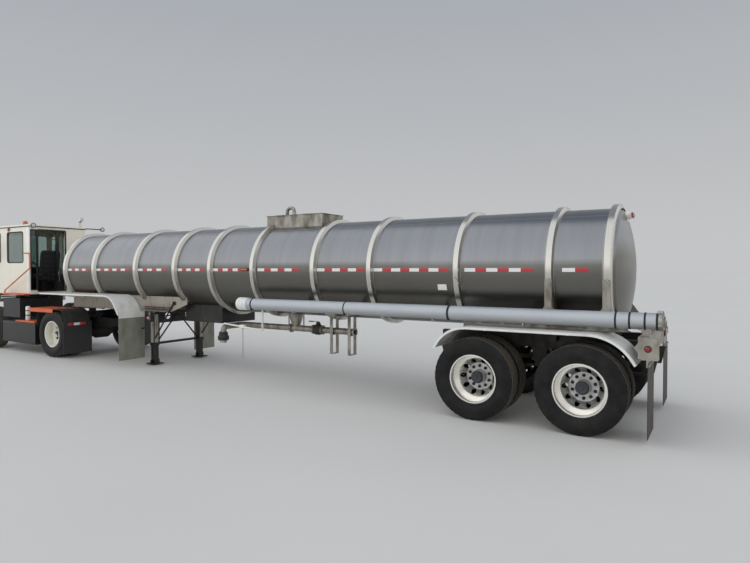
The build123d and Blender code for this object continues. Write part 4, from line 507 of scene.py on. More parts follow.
class Shape:
    """A mesh in the making, in millimetres, in the frame's own axes."""

    def __init__(self):
        self.bm = bmesh.new()

    def row(self, points):
        """A vertex at each point."""
        return [self.bm.verts.new(point) for point in points]

    def box(self, corner, opposite, edge=4):
        """A box between two opposite corners, with bevelled edges."""
        pairs = [sorted(pair) for pair in zip(corner, opposite)]
        size = Vector([high - low for low, high in pairs])
        made = bmesh.ops.create_cube(self.bm, size=1.0)["verts"]
        bmesh.ops.scale(self.bm, vec=size, verts=made)
        edges = list({e for v in made for e in v.link_edges})
        width = min(edge, min(size) * EDGE_SHARE)
        bevel = bmesh.ops.bevel(self.bm, geom=edges, offset=width, segments=2, affect="EDGES", profile=0.7)
        made = list({v for f in bevel["faces"] for v in f.verts} | {v for v in made if v.is_valid})
        bmesh.ops.translate(self.bm, vec=Vector([(high + low) / 2 for low, high in pairs]), verts=made)

    def lathe(self, profile, centre, axis, steps=48, loop=False):
        """Turns (along, radius) points about an axis through centre. A loop joins the last to the first;
        any other profile starts and ends on the axis."""
        centre, axis = Vector(centre), Vector(axis).normalized()
        side = axis.orthogonal().normalized()
        other = axis.cross(side)
        rings = []
        for along, radius in profile:
            outs = [side * c + other * s for c, s in circle(steps)] if radius else [axis]
            rings.append(self.row(centre + axis * along + out * radius for out in outs))
        self.skin([*rings, rings[0]] if loop else rings)

    def collar(self, centre, axis, inner, outer, wide, edge=1.5, steps=48):
        """A plain band round a pipe, with eased edges."""
        h, eased = wide / 2, outer - edge
        profile = [(-h, inner), (-h, eased), (-h + edge, outer), (h - edge, outer), (h, eased), (h, inner)]
        self.lathe(profile, centre, axis, steps, loop=True)

    def gasket(self, centre, direction, size, corner, section, steps=7):
        """A closed moulding round a rounded upright rectangle; its section lists (outwards, proud) points."""
        across, up, proud = facing(direction), Vector(UP), Vector(direction)
        rows = []
        wide, high = (side / 2 - corner for side in size)
        for quarter, (sx, sy) in enumerate(((1, 1), (-1, 1), (-1, -1), (1, -1))):
            for k in range(steps + 1):
                angle = math.pi / 2 * (quarter + k / steps)
                nx, ny = math.cos(angle), math.sin(angle)
                x, y = sx * wide + nx * corner, sy * high + ny * corner
                corner_points = ((x + nx * out, y + ny * out, rise) for out, rise in section)
                rows.append(self.row(centre + across * a + up * b + proud * c for a, b, c in corner_points))
        self.skin([*rows, rows[0]])

    def skin(self, rings, closed=True):
        """Faces between rows of vertices; a row of one vertex is a point."""
        for first, second in zip(rings, rings[1:]):
            count = max(len(first), len(second))
            for k in range(count if closed else count - 1):
                n = (k + 1) % count
                if len(first) == 1:
                    corners = (first[0], second[k], second[n])
                elif len(second) == 1:
                    corners = (first[k], second[0], first[n])
                else:
                    corners = (first[k], second[k], second[n], first[n])
                self.bm.faces.new(corners)

    def rod(self, start, end, radius, steps=14, edge=1.5):
        """A closed round bar with eased ends."""
        run = Vector(end) - Vector(start)
        long = run.length
        edge = min(edge, radius * EDGE_SHARE, long * EDGE_SHARE)
        eased = radius - edge
        profile = [(0, 0), (0, eased), (edge, radius), (long - edge, radius), (long, eased), (long, 0)]
        self.lathe(profile, start, run, steps)

    def nut(self, base, axis, across, tall):
        """A nut with a washer and a stud end, turned from shares of its height and of its width."""
        for steps, shares in (
            (18, [(0, 0), (0, 0.72), (0.12, 0.72), (0.14, 0.58), (0.14, 0)]),
            (6, [(0.1, 0), (0.1, 0.577), (0.92, 0.577), (1, 0.48), (1, 0)]),
            (10, [(1, 0), (1, 0.3), (1.3, 0.27), (1.34, 0)]),
        ):
            self.lathe([(tall * t, across * r) for t, r in shares], base, axis, steps)

    def pipe(self, points, radius, steps=12, bend=None):
        """A closed tube along points, with its corners rounded."""
        path = rounded([Vector(p) for p in points], bend or radius * 3)
        rings, normal = [], None
        for k, point in enumerate(path):
            ahead = (path[min(k + 1, len(path) - 1)] - path[max(k - 1, 0)]).normalized()
            normal = normal or ahead.orthogonal().normalized()
            normal = (normal - ahead * normal.dot(ahead)).normalized()
            other = ahead.cross(normal)
            rings.append(self.row(point + (normal * c + other * s) * radius for c, s in circle(steps)))
        self.skin([self.row(path[:1]), *rings, self.row(path[-1:])])

    def plate(self, outline, origin, across, thick, edge):
        """An upright outline of (across, up) points made thick, with its outer edge eased."""
        out = across.cross(Vector(UP))
        corners = [origin + across * a + Vector((0, 0, b)) for a, b in outline]
        rows = [self.row(corner + out * rise for corner in corners) for rise in (0, thick)]
        self.bm.faces.new(list(reversed(rows[0])))
        self.bm.faces.new(rows[1])
        self.skin(rows)
        edges = [e for e in self.bm.edges if e.verts[0] in rows[1] and e.verts[1] in rows[1]]
        bmesh.ops.bevel(self.bm, geom=edges, offset=edge, segments=1, affect="EDGES")

    def band(self, x0, x1, angle0, angle1, inner, outer, steps):
        """A curved strip on the barrel between two angles from level, closed on every side."""
        rows = []
        for k in range(steps + 1):
            angle = angle0 + (angle1 - angle0) * k / steps
            c, s = math.cos(angle), math.sin(angle)
            corners = ((x0, inner), (x1, inner), (x1, outer), (x0, outer))
            rows.append(self.row((x, r * c, TANK_Z + r * s) for x, r in corners))
        self.skin(rows)
        self.bm.faces.new(list(reversed(rows[0])))
        self.bm.faces.new(rows[-1])

    def piece(self, name, finish, body, slot, crease=32.0):
        """The finished mesh as an object that rides on a body."""
        bmesh.ops.scale(self.bm, vec=Vector((MM, MM, MM)), verts=self.bm.verts)
        bmesh.ops.remove_doubles(self.bm, verts=self.bm.verts, dist=WELD)
        bmesh.ops.recalc_face_normals(self.bm, faces=self.bm.faces)
        for face in self.bm.faces:
            face.smooth = True
        for line in self.bm.edges:
            if len(line.link_faces) == 2 and line.calc_face_angle(0.0) > math.radians(crease):
                line.smooth = False
        made = self.object(name, finish)
        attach(made, body)
        return made

    def object(self, name, finish):
        """The mesh as an object in one finish."""
        data = bpy.data.meshes.new(name)
        self.bm.to_mesh(data)
        self.bm.free()
        data.materials.append(MATERIALS[finish])
        made = bpy.data.objects.new(name, data)
        bpy.context.scene.collection.objects.link(made)
        return made


def rounded(points, radius, steps=6):
    """A path with an arc at each corner."""
    path = [points[0]]
    for before, corner, after in zip(points, points[1:], points[2:]):
        back, on = (before - corner), (after - corner)
        turn = back.angle(on)
        reach = min(radius / math.tan(turn / 2), back.length * BEND_SHARE, on.length * BEND_SHARE)
        start, end = corner + back.normalized() * reach, corner + on.normalized() * reach
        for k in range(steps + 1):
            t = k / steps
            path.append(start * (1 - t) ** 2 + corner * 2 * t * (1 - t) + end * t**2)
    path.append(points[-1])
    return path


# Tyres
# Share of the half width, and share of the way from bead to tread
SIDEWALL = [
    (0.74, 0.0), (0.75, 0.05), (0.775, 0.08), (0.80, 0.085), (0.845, 0.11), (0.875, 0.165), (0.865, 0.175),
    (0.90, 0.22), (0.95, 0.31), (0.985, 0.40), (1.0, 0.5), (0.998, 0.58), (0.985, 0.66), (0.995, 0.67),
    (0.985, 0.70), (0.962, 0.75), (0.968, 0.765), (0.955, 0.78), (0.935, 0.82),
]
TREAD_DEEP = 15
GROOVES = [0.60, 0.22]
GROOVE_HALF = 0.035
GROOVE_DEEP = 13
# Sipes cross the shoulders between two shares of the half width, one at each fourth step round
SIPED_FROM, SIPED_TO = 0.62, 0.88
SIPE_EVERY = 4
SIPE_DEEP = 5
# A drive tyre's lugs are parted by cuts at each sixth step, outside this share of the half width
LUGS_FROM = 0.26
LUG_EVERY = 6
# The grooves inside this share wander to either side by a share of the half width
WANDERS_TO = 0.64
ZIGZAG = 0.022
TYRE_STEPS = 168


def tread_profile(crown):
    """(share of the half width, radius) points over the tread, from one shoulder to the other."""
    edge = [(0.915, crown - 21), (0.895, crown - 9), (0.86, crown - 3), (0.80, crown)]
    points = list(edge)
    for centre in (*GROOVES, *(-g for g in reversed(GROOVES))):
        for side, deep in ((1, 0), (0.6, GROOVE_DEEP), (-0.6, GROOVE_DEEP), (-1, 0)):
            points.append((centre + GROOVE_HALF * side, crown - deep))
    return points + [(-s, r) for s, r in reversed(edge)]


def add_tyre(shape, centre, crown, bead, half, lugged):
    """One tyre: beads, bellied sidewalls with moulded rings, and a grooved, siped tread."""
    side = [(s, bead + t * (crown - bead)) for s, t in SIDEWALL]
    across = side + tread_profile(crown - 1) + [(-s, r) for s, r in reversed(side)]
    across += [(-0.70, bead + 3), (0.70, bead + 3)]
    rings = []
    for share, radius in across:
        ring = []
        on_tread = radius > crown - TREAD_DEEP
        for k, (c, s) in enumerate(circle(TYRE_STEPS)):
            r, y = radius, share * half
            if on_tread and SIPED_FROM < abs(share) < SIPED_TO and k % SIPE_EVERY == 0:
                r -= GROOVE_DEEP * 0.8 if lugged else SIPE_DEEP
            if on_tread and abs(share) < WANDERS_TO:
                y += half * ZIGZAG * (1 if (k // 2) % 2 else -1)
                if lugged and k % LUG_EVERY == 0 and abs(share) > LUGS_FROM:
                    r = min(r, crown - GROOVE_DEEP)
            ring.append(centre + Vector((r * c, y, r * s)))
        rings.append(shape.row(ring))
    shape.skin([*rings, rings[0]])


def tyre_node(axle, side):
    return f"{axle}_{side}_tyre" + ("" if axle == "front" else "s")


# Radius of each axle's rims
RIMS = {"rear": 311, "middle": 311, "drive": 286, "front": 286}
# Half a tyre's width
TYRE_HALF = 140


def dress_tyres():
    for axle, bead in RIMS.items():
        for side, _ in SIDES:
            low, high = box_of(tyre_node(axle, side))
            shape = Shape()
            centre = (low + high) / 2
            apart = high.y - TYRE_HALF - centre.y
            crown = (high.z - low.z) / 2
            for shift in (0,) if axle == "front" else (-apart, apart):
                add_tyre(shape, centre + Vector((0, shift, 0)), crown, bead, TYRE_HALF, axle == "drive")
            made = shape.piece(f"{axle}_{side}_tyre_moulded", "rubber", f"{axle}_{side}", "tyre_rubber", 28.0)
            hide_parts(tyre_node(axle, side))


# Wheel nuts, hub caps and valve stems: each axle, with its hub cap's radius
HUBS = [("rear", 74), ("middle", 74), ("drive", 72), ("front", 58)]
# Edge of the hub cap: (along, outside the cap's radius)
CAP_EDGE = [(-20, 12), (2, 12), (5, 8), (6, 0), (24, -2), (30, -7), (33, -16)]
CAP_BOLTS = 6
STUD_CIRCLE = 143
NUT_TALL = 30
STUD_COUNT = 10
# How far the disc's face and the hub's end stand outside the middle of a pair of tyres, or of a front tyre
DISC_OUT = 14
HUB_END_OUT = 109
FRONT_DISC_OUT = 54
FRONT_HUB_OUT = 120
# The valve's place, as a share of the rim's radius, and its own radius
VALVE_AT = 0.70
VALVE_R = 4.5


def dress_hubs(sizes):
    for axle, cap in HUBS:
        disc_out, hub_out = (FRONT_DISC_OUT, FRONT_HUB_OUT) if axle == "front" else (DISC_OUT, HUB_END_OUT)
        for side, sign in SIDES:
            centre = middle(tyre_node(axle, side))
            out = Vector((0, sign, 0))
            body = f"{axle}_{side}"
            face, nose = centre + out * disc_out, centre + out * hub_out
            nuts, hub, stem = Shape(), Shape(), Shape()
            for c, s in circle(STUD_COUNT, 0.5):
                stud = face + Vector((STUD_CIRCLE * c, 0, STUD_CIRCLE * s))
                nuts.nut(stud, out, sizes.nut_across / MM, NUT_TALL)
            nuts.piece(f"{body}_nuts", "dark_steel", body, "cast_grey")
            edge = [(along, cap + r) for along, r in CAP_EDGE]
            hub.lathe([(-20, 0), *edge, (31, cap - 20), (31, 22), (38, 20), (39, 0)], nose, out, 40)
            for c, s in circle(CAP_BOLTS):
                bolt = nose + Vector(((cap + 5) * c, sign * 3, (cap + 5) * s))
                hub.lathe([(0, 0), (0, 6), (5, 6), (6, 4), (6, 0)], bolt, out, 6)
            hub.piece(f"{body}_hub_cap", "hub_grey", body, "cast_grey")
            foot = face + Vector((RIMS[axle] * VALVE_AT, -sign * 4, 0))
            stem.pipe([foot, foot + out * 25, foot + out * 45 + Vector((20, 0, 0))], VALVE_R, 8, 8)
            stem.piece(f"{body}_valve", "zinc", body, "cast_grey")


# Tape round the barrel, bay by bay from the rear: lengths, each one's length and the gap to the ring ahead
TAPE_BAYS = [
    (2, 162, 162), (6, 161, 117), (8, 158, 66), (6, 156, 70), (6, 156, 110),
    (6, 128, 70), (6, 125, 81), (6, 149, 67), (8, 147, 66), (6, 138, 90),
]
TAPE_THICK = 0.6


def dress_tape(sizes):
    angle = math.asin(sizes.tape_high / MM / 2 / TANK_R)
    for side, sign in SIDES:
        strips = {"white": Shape(), "red": Shape()}
        for k, (count, long, gap) in enumerate(TAPE_BAYS):
            for n in range(count):
                front = RING_XS[k + 1] - gap - n * long
                level = 0.0 if sign > 0 else math.pi
                strip = strips["red" if n % 2 else "white"]
                strip.band(front - long, front, level - angle, level + angle, TANK_R, TANK_R + TAPE_THICK, 4)
        for colour, shape in strips.items():
            shape.piece(f"barrel_tape_{colour}_{side}", f"tape_{colour}", "trailer", "stainless_shell")


# Weld beads on the barrel: the lengthwise seams' angles from level, in degrees
SEAM_ANGLES = (58, 122)
# A bead's section: (share of its width, rise)
BEAD = [(-0.4, -1.0), (-0.1, 3.0), (0.2, 2.0), (0.4, -1.0)]


def dress_seams(sizes):
    bead = sizes.weld_bead / MM
    seams = Shape()
    half = bead / 2 / TANK_R
    for degrees in SEAM_ANGLES:
        angle = math.radians(degrees)
        seams.band(RING_XS[0], RING_XS[-1], angle - half, angle + half, TANK_R - 1, TANK_R + 1.8, 2)
    for x in RING_XS:
        for side in reversed(SIGNS):
            profile = [(share * bead, TANK_R + rise) for share, rise in BEAD]
            seams.lathe(profile, (x + side * (RING_BASE / 2 + 2), 0, TANK_Z), FRONT, 96, loop=True)
    seams.piece("barrel_welds", "polished", "trailer", "stainless_polished")


# Fittings on the barrel
# How many rings, from the rear, carry hooks at their sides
HOOKED_RINGS = 3
HOOK_Z = 1865
# Side marker lamps: middle, length and height in mm
MARKER = (5898, 190, 52)
MARKER_Z = 2004
# Parts of a marker: name, finish, slot, how far its ends stand in, and its reach from the barrel
MARKER_PARTS = [
    ("base", "gasket", "rubber_black", 0, 0, 18),
    ("lens", "amber_lens", "lamp_amber", 22, 10, 32),
]
# Placard holder: rear, front, and degrees from level
PLACARD = (1940, 2080, -20.5, -14.5)
PLACARD_RIM = 9


def dress_barrel():
    hooks = Shape()
    out = math.sqrt(RING_OUT**2 - (HOOK_Z - TANK_Z) ** 2) - 6
    for sign in SIGNS:
        for x in RING_XS[:HOOKED_RINGS]:
            root = Vector((x, sign * out, HOOK_Z))
            bend = [(30, 0, 34), (6, 34, 20), (-28, 22, -22), (-34, -4, -44)]
            hooks.pipe([root + Vector((dx, sign * dy, dz)) for dx, dy, dz in bend], 6, 10)
            for dx, dz in ((30, 34), (-34, -44)):
                hooks.rod(root + Vector((dx, -sign * 8, dz)), root + Vector((dx, sign * 5, dz)), 13)
    hooks.piece("ring_hooks", "polished", "trailer", "stainless_polished")

    x, long, high = MARKER
    for side, sign in SIDES:
        for name, finish, slot, inset, near, far in MARKER_PARTS:
            shape = Shape()
            along, tall = long / 2 - inset, high / 2 - (9 if inset else 0)
            near, far = (sign * (TANK_R - 1 + reach) for reach in (near, far))
            shape.box(spot(x - along, near, MARKER_Z - tall), spot(x + along, far, MARKER_Z + tall), 9)
            shape.piece(f"side_marker_{name}_{side}", finish, "trailer", slot)

    for side, sign in SIDES:
        plates = Shape()
        rear, front, first, last = PLACARD
        a, b = math.radians(first), math.radians(last)
        if sign < 0:
            a, b = math.pi - b, math.pi - a
        rear, front = spot(rear, 0, 0).x, spot(front, 0, 0).x
        plates.band(rear, front, a, b, TANK_R - 0.5, TANK_R + 2.5, 6)
        for x in (rear, front - PLACARD_RIM):
            plates.band(x, x + PLACARD_RIM, a, b, TANK_R + 1, TANK_R + 8, 6)
        plates.piece(f"placard_holder_{side}", "post_white", "trailer", "white_paint")

    # The lamp at the top of the rear head
    housing, red = Shape(), Shape()
    housing.box(spot(-412, -105, 2690), spot(-300, 105, 2778), 14)
    housing.box(spot(-360, -60, 2640), spot(-240, 60, 2700), 10)
    housing.piece("head_lamp_housing", "polished", "trailer", "stainless_polished")
    for y in (-55, 55):
        red.lathe([(-14, 0), (-14, 36), (6, 36), (16, 30), (21, 16), (22, 0)], spot(-412, y, 2734), BACK, 28)
    red.piece("head_lamp_lenses", "red_lens", "trailer", "lamp_red")


# Fittings on the hose tube
HOSE_R = 100
HOSE_Y = middle("hose_tube_cap").y
# The cap reaches 6 mm below the tube
HOSE_Z = box_of("hose_tube_cap")[0].z + HOSE_R + 6
# Clamp bands: middle ahead of the rearmost axle, and width
CLAMPS = [(-820, 26), (-691, 22), (-525, 22), (-372, 22), (1799, 34), (3560, 22), (5520, 30)]
CLAMP_THICK = 3
# The ribbed cap on the tube's front end: (ahead of the rearmost axle, proud of the tube)
FRONT_CAP = [
    (5640, 5), (5652, 9), (5690, 9), (5696, 5), (5712, 5), (5718, 12), (5752, 12), (5758, 6), (5776, 6),
    (5782, 13), (5852, 13), (5866, 4),
]


def on_hose(x):
    """A place on the hose tube's middle line."""
    return Vector((spot(x, 0, 0).x, HOSE_Y, HOSE_Z))


def dress_hose_tube():
    bands = Shape()
    for x, wide in CLAMPS:
        centre = on_hose(x)
        bands.collar(centre, FRONT, HOSE_R - 1, HOSE_R + CLAMP_THICK, wide, 1)
        ear = centre + Vector((0, HOSE_R * 0.70, -HOSE_R * 0.80))
        half = Vector((wide / 2, 9, 14))
        bands.box(ear - half, ear + half, 2)
        bands.rod(ear - Vector((0, 20, 4)), ear + Vector((0, 20, -4)), 5)
    bands.piece("hose_tube_clamps", "dark_steel", "trailer", "aluminium_bare")
    cap = Shape()
    ribs = [(x, HOSE_R + r) for x, r in FRONT_CAP]
    cap.lathe([(5640, 0), *ribs, (5870, 60), (5866, 0)], on_hose(0), FRONT, 56)
    cap.piece("hose_tube_front_cap", "white_plastic", "trailer", "aluminium_bare")
    mouth = Shape()
    cap_low, cap_high = box_of("hose_tube_cap")
    centre = Vector((cap_high.x + 22, HOSE_Y, HOSE_Z))
    mouth.collar(centre, FRONT, HOSE_R - 1, HOSE_R + 9, 40, 3)
    for degrees in (200, 340):
        angle = math.radians(degrees)
        lug = centre + Vector((0, math.cos(angle), math.sin(angle))) * (HOSE_R + 12)
        mouth.box(lug - Vector((20, 12, 12)), lug + Vector((20, 12, 12)), 3)
    mouth.piece("hose_tube_mouth", "zinc", "trailer", "aluminium_bare")
    latch = Shape()
    back = Vector((cap_low.x, HOSE_Y, HOSE_Z))
    latch.box(back + Vector((-3, -13, -58)), back + Vector((14, 13, 56)), 3)
    bow = ((6, -30, -20), (-14, -30, -24), (-14, 30, -24), (6, 30, -20))
    latch.pipe([back + Vector(place) for place in bow], 5, 10)
    latch.piece("hose_cap_latch", "zinc", "hose_cap", "stainless_shell")


# The tail: lamps in the beam, a side lamp on the plate at its left end, and the clamps over the flaps
BEAM_LAMPS = [1090, 950, 810]
BEAM_LAMP_Z = 1110
BEAM_FACE = -745
FLAP_INNER, FLAP_OUTER = 662, 1263
FLAP_BOLTS = [700, 830, 960, 1090, 1220]


def dress_tail():
    rims, lamps = Shape(), Shape()
    for sign in SIGNS:
        for y in BEAM_LAMPS:
            rims.collar(spot(BEAM_FACE - 5, sign * y, BEAM_LAMP_Z), FRONT, 55, 69, 12, 4)
            dome = [(0, 0), (0, 52), (5, 54), (11, 46), (15, 28), (16, 0)]
            lamps.lathe(dome, spot(BEAM_FACE - 12, sign * y, BEAM_LAMP_Z), BACK, 36)
    rims.piece("tail_lamp_grommets", "gasket", "trailer", "rubber_black")
    lamps.piece("tail_lamp_domes", "red_lens", "trailer", "lamp_red")

    base, lens_ring = Shape(), Shape()
    out = spot(BEAM_FACE, 1252.3, 1105)
    base.lathe([(-2, 0), (-2, 40), (6, 40), (9, 34), (9, 0)], out, LEFT, 32)
    base.piece("side_lamp_base", "gasket", "trailer", "rubber_black")
    lens_ring.lathe([(5, 0), (5, 31), (13, 29), (16, 12), (16, 0)], out, LEFT, 32)
    lens_ring.piece("side_lamp_lens", "red_lens", "trailer", "lamp_red")

    clamps = Shape()
    near, far = BEAM_FACE - 7.7, BEAM_FACE - 13
    for sign in SIGNS:
        clamps.box(spot(far, sign * FLAP_INNER, 897), spot(near, sign * FLAP_OUTER, 923), 1.5)
        for y in FLAP_BOLTS:
            clamps.nut(spot(far, sign * y, 910), BACK, 15, 9)
    clamps.piece("flap_clamps", "zinc", "trailer", "stainless_shell")

    small = Shape()
    small.box(spot(-850, 1180, 977), spot(-672, 1262, 990), 2)
    for x in (-828, -694):
        small.rod(spot(x, 1222, 974), spot(x, 1222, 998), 9, 6)
    small.box(spot(-838, 1252, 1172), spot(-762, 1257, 1222), 2)
    small.piece("lamp_plate_bars", "steel", "trailer", "stainless_shell")


# The top: clamp bolts round the lid, its grip, the vent's screen, the port's cap and the box's handles
LID_HIGH = box_of("manhole_lid")[1]
LID_X = LID_HIGH.x - 267
LID_TOP = LID_HIGH.z
LID_FLANGE_TOP = LID_TOP - 26
LID_CLAMPS = 6
LID_CLAMP_CIRCLE = 246
SPILL_HANDLES = [4900, 5480]
SPILL_REAR, SPILL_FRONT = 4540, 5840
SPILL_RIVETS = 14
# Top edge of the spill box
SPILL_TOP = 3000


def dress_top():
    clamps = Shape()
    for c, s in circle(LID_CLAMPS, 0.5):
        base = Vector((LID_X + c * LID_CLAMP_CIRCLE, s * LID_CLAMP_CIRCLE, LID_FLANGE_TOP - 1))
        wing = Vector((-s * 46, c * 46, 0))
        clamps.nut(base, UP, 26, 22)
        top = base + Vector((0, 0, 34))
        clamps.rod(base, top + Vector((0, 0, 8)), 7, 10)
        tip = top + Vector((0, 0, 12))
        clamps.pipe([tip - wing, top, tip + wing], 6.5, 10)
    clamps.piece("lid_clamps", "zinc", "manhole_cover", "stainless_polished")
    grip = Shape()
    grip.pipe([(LID_X, y, LID_TOP + z) for y, z in ((-95, -4), (-95, 42), (95, 42), (95, -4))], 8, 12)
    grip.lathe([(0, 0), (0, 58), (6, 58), (16, 44), (18, 0)], (LID_X - 105, 0, LID_TOP - 2), UP, 28)
    grip.piece("lid_grip", "polished", "manhole_cover", "stainless_polished")

    vent = Shape()
    vent.collar(spot(5390, 60, 3050), UP, 31, 40, 56, 3, 28)
    for z in (2860, 3080):
        vent.collar(spot(5560, 60, z), UP, 31, 37, 16, 2, 28)
    cap = [(0, 0), (0, 66), (9, 68), (34, 68), (38, 62), (40, 30), (50, 26), (52, 0)]
    vent.lathe(cap, spot(5540, -150, 2930), UP, 32)
    for sign in SIGNS:
        lever = [spot(5540, -150 + sign * y, z) for y, z in ((62, 2948), (84, 2952), (90, 2906))]
        vent.pipe(lever, 7, 10, 12)
    vent.piece("vent_and_port_fittings", "zinc", "trailer", "stainless_polished")

    handles = Shape()
    edge = box_of("spill_box")[1].y
    for sign in SIGNS:
        for x in SPILL_HANDLES:
            near, far = sign * (edge - 2), sign * (edge + 30)
            bow = ((x - 70, near), (x - 70, far), (x + 70, far), (x + 70, near))
            handles.pipe([spot(x, y, SPILL_TOP - 3) for x, y in bow], 6, 10, 12)
        for k in range(SPILL_RIVETS):
            x = SPILL_REAR + (SPILL_FRONT - SPILL_REAR) * (k + 0.5) / SPILL_RIVETS
            handles.lathe([(0, 0), (0, 9), (5, 6), (6, 0)], spot(x, sign * 329, SPILL_TOP), UP, 12)
    handles.piece("spill_box_handles", "zinc", "trailer", "aluminium_bare")


# The line below the tank, its valve and the bar beside it
LINE_Z = 900
VALVE_X = 4880
TEE_X = 5512
BRANCH = (6790, 520)
LINE_BOLT_R = 74.6


def dress_piping():
    bolts = Shape()
    for x, way in ((VALVE_X - 113, BACK), (VALVE_X + 113, FRONT), (TEE_X - 13, BACK), (TEE_X + 13.3, FRONT)):
        for c, s in circle(8, 0.5):
            bolts.nut(spot(x, LINE_BOLT_R * c, LINE_Z + LINE_BOLT_R * s), way, 18, 12)
    bolts.piece("line_flange_nuts", "zinc", "trailer", "stainless_shell")

    valve = Shape()
    body = [(-86, 0), (-86, 60), (-80, 82), (-40, 96), (40, 96), (80, 82), (86, 60), (86, 0)]
    valve.lathe(body, spot(VALVE_X, 0, LINE_Z), FRONT, 40)
    bonnet = [(0, 0), (0, 44), (30, 44), (36, 34), (52, 32), (54, 0)]
    valve.lathe(bonnet, spot(VALVE_X, 0, LINE_Z + 88), UP, 28)
    x, y = BRANCH
    outlet = [(0, 0), (0, 102), (20, 106), (70, 106), (90, 88), (150, 82), (160, 62), (160, 0)]
    valve.lathe(outlet, spot(x, y, LINE_Z - 258), UP, 40)
    valve.piece("line_valves", "cast", "trailer", "stainless_shell")
    grip = Shape()
    grip.box(spot(VALVE_X + 110, -19, LINE_Z + 136), spot(VALVE_X + 216, 19, LINE_Z + 154), 7)
    grip.piece("valve_grip", "gasket", "trailer", "rubber_black")
    pale = Shape()
    cap = [(0, 0), (0, 60), (-14, 66), (-44, 66), (-50, 50), (-54, 0)]
    pale.lathe(cap, spot(x, y, LINE_Z - 262), UP, 32)
    for sign in SIGNS:
        lever = [spot(x + sign * dx, y, LINE_Z + dz) for dx, dz in ((62, -296), (92, -300), (96, -225))]
        pale.pipe(lever, 7, 10, 14)
    pale.piece("branch_cap", "zinc", "trailer", "aluminium_bare")

    bar = Shape()
    bow = ((6780, 505, 960), (5804, 500, 880), (5790, 500, 900), (5788, 500, 1352))
    bar.pipe([spot(*place) for place in bow], 17, 12, 60)
    bar.box(spot(6230, 470, 898), spot(6360, 522, 960), 5)
    bar.piece("white_guard_bar", "post_white", "trailer", "white_paint")
    rod = Shape()
    rod.pipe([spot(6290, 500, 905), spot(6290, 500, 400), spot(6296, 500, 330)], 7, 10, 40)
    rod.lathe([(0, 0), (0, 12), (30, 14), (34, 0)], spot(6290, 500, 872), UP, 16)
    rod.piece("dip_rod", "zinc", "trailer", "stainless_polished")


# Landing gear: nuts on the gearbox and flanges, the crank's grip, and plates on the gearbox and the legs
LEG = (8755, 595)


def dress_landing_gear():
    x, y = LEG
    nuts = Shape()
    face = y + 50
    for dx in (78, 118):
        for z in (948, 1092):
            nuts.nut(spot(x + dx, face, z), LEFT, 16, 9)
    for sign in SIGNS:
        for dx in (-76, 76):
            nuts.nut(spot(x + dx, sign * (y + 66), 1119), DOWN, 20, 12)
    nuts.lathe([(0, 0), (0, 30), (10, 30), (14, 22), (26, 20), (26, 0)], spot(x + 98, face, 1045), LEFT, 24)
    nuts.piece("landing_gear_nuts", "zinc", "trailer", "grey_steel")
    plate = Shape()
    plate.box(spot(x + 66, face - 1, 934), spot(x + 130, face + 4, 1106), 3)
    # Wear plates down the outside and the rear of each leg
    for sign in SIGNS:
        plate.box(spot(x - 44, sign * (y + 61), 470), spot(x + 44, sign * (y + 66), 900), 3)
        plate.box(spot(x - 66, sign * (y - 40), 470), spot(x - 61, sign * (y + 48), 1060), 3)
    plate.piece("landing_gear_plates", "steel", "trailer", "grey_steel")
    grip = Shape()
    profile = [(0, 0), (0, 15), (4, 17), (52, 17), (56, 15), (58, 0)]
    grip.lathe(profile, spot(x + 98, 786, 780), LEFT, 24)
    grip.piece("crank_grip", "gasket", "trailer", "rubber_black")


# Trim on the fenders and flaps
def dress_fenders():
    white, red = Shape(), Shape()
    for sign in SIGNS:
        white.box(spot(8993, sign * FLAP_INNER, 1006), spot(8999.6, sign * FLAP_OUTER, 1130), 2)
        for y in range(720, 1201, 120):
            white.nut(spot(8993, sign * y, 1068), BACK, 15, 8)
    white.piece("front_flap_trim", "white", "trailer", "white_paint")
    # Tape on the drive flaps: outer edge, inner edge and which colour
    tape_white = Shape()
    for sign in SIGNS:
        for outer, inner, shape in ((1160, 1020, red), (1020, 880, tape_white), (880, 740, red)):
            shape.box(spot(11015.6, sign * inner, 745), spot(11017.8, sign * outer, 805), 0.6)
    red.piece("drive_flap_tape_red", "tape_red", "tractor", "plastic_black")
    tape_white.piece("drive_flap_tape_white", "tape_white", "tractor", "plastic_black")
    flange = Shape()
    for sign in SIGNS:
        for z in (1176, 1223):
            flange.box(spot(8170, sign * 629, z), spot(9050, sign * 702, z + 7), 2)
    flange.piece("subframe_flanges", "maroon", "trailer", "grey_steel")


# The cab: window rubbers, door frame, gutter, lamps, mirrors, wipers and hood fittings
CAB_REAR = 12950
CAB_FRONT = 14700
CAB_LEFT = 980
CAB_RIGHT = -450
CAB_TOP = 3112
SIDE_WINDOWS = ((13250, 14010), (14350, 14590))
GUTTER_Z = 3053
LAMP_Z = 3085
WIPER_LEAN = 150
# Mouldings round the windows and round the door: (outwards, proud)
RUBBER = [(-13, -2), (-13, 4), (-6, 9), (5, 10), (13, 5), (15, -2)]
FRAME = [(-10, -2), (-10, 5), (-6, 8), (22, 8), (26, 5), (26, -2)]


def facing(direction):
    """The level direction that runs so that it, up and the direction make a right-handed set."""
    return Vector(UP).cross(Vector(direction))


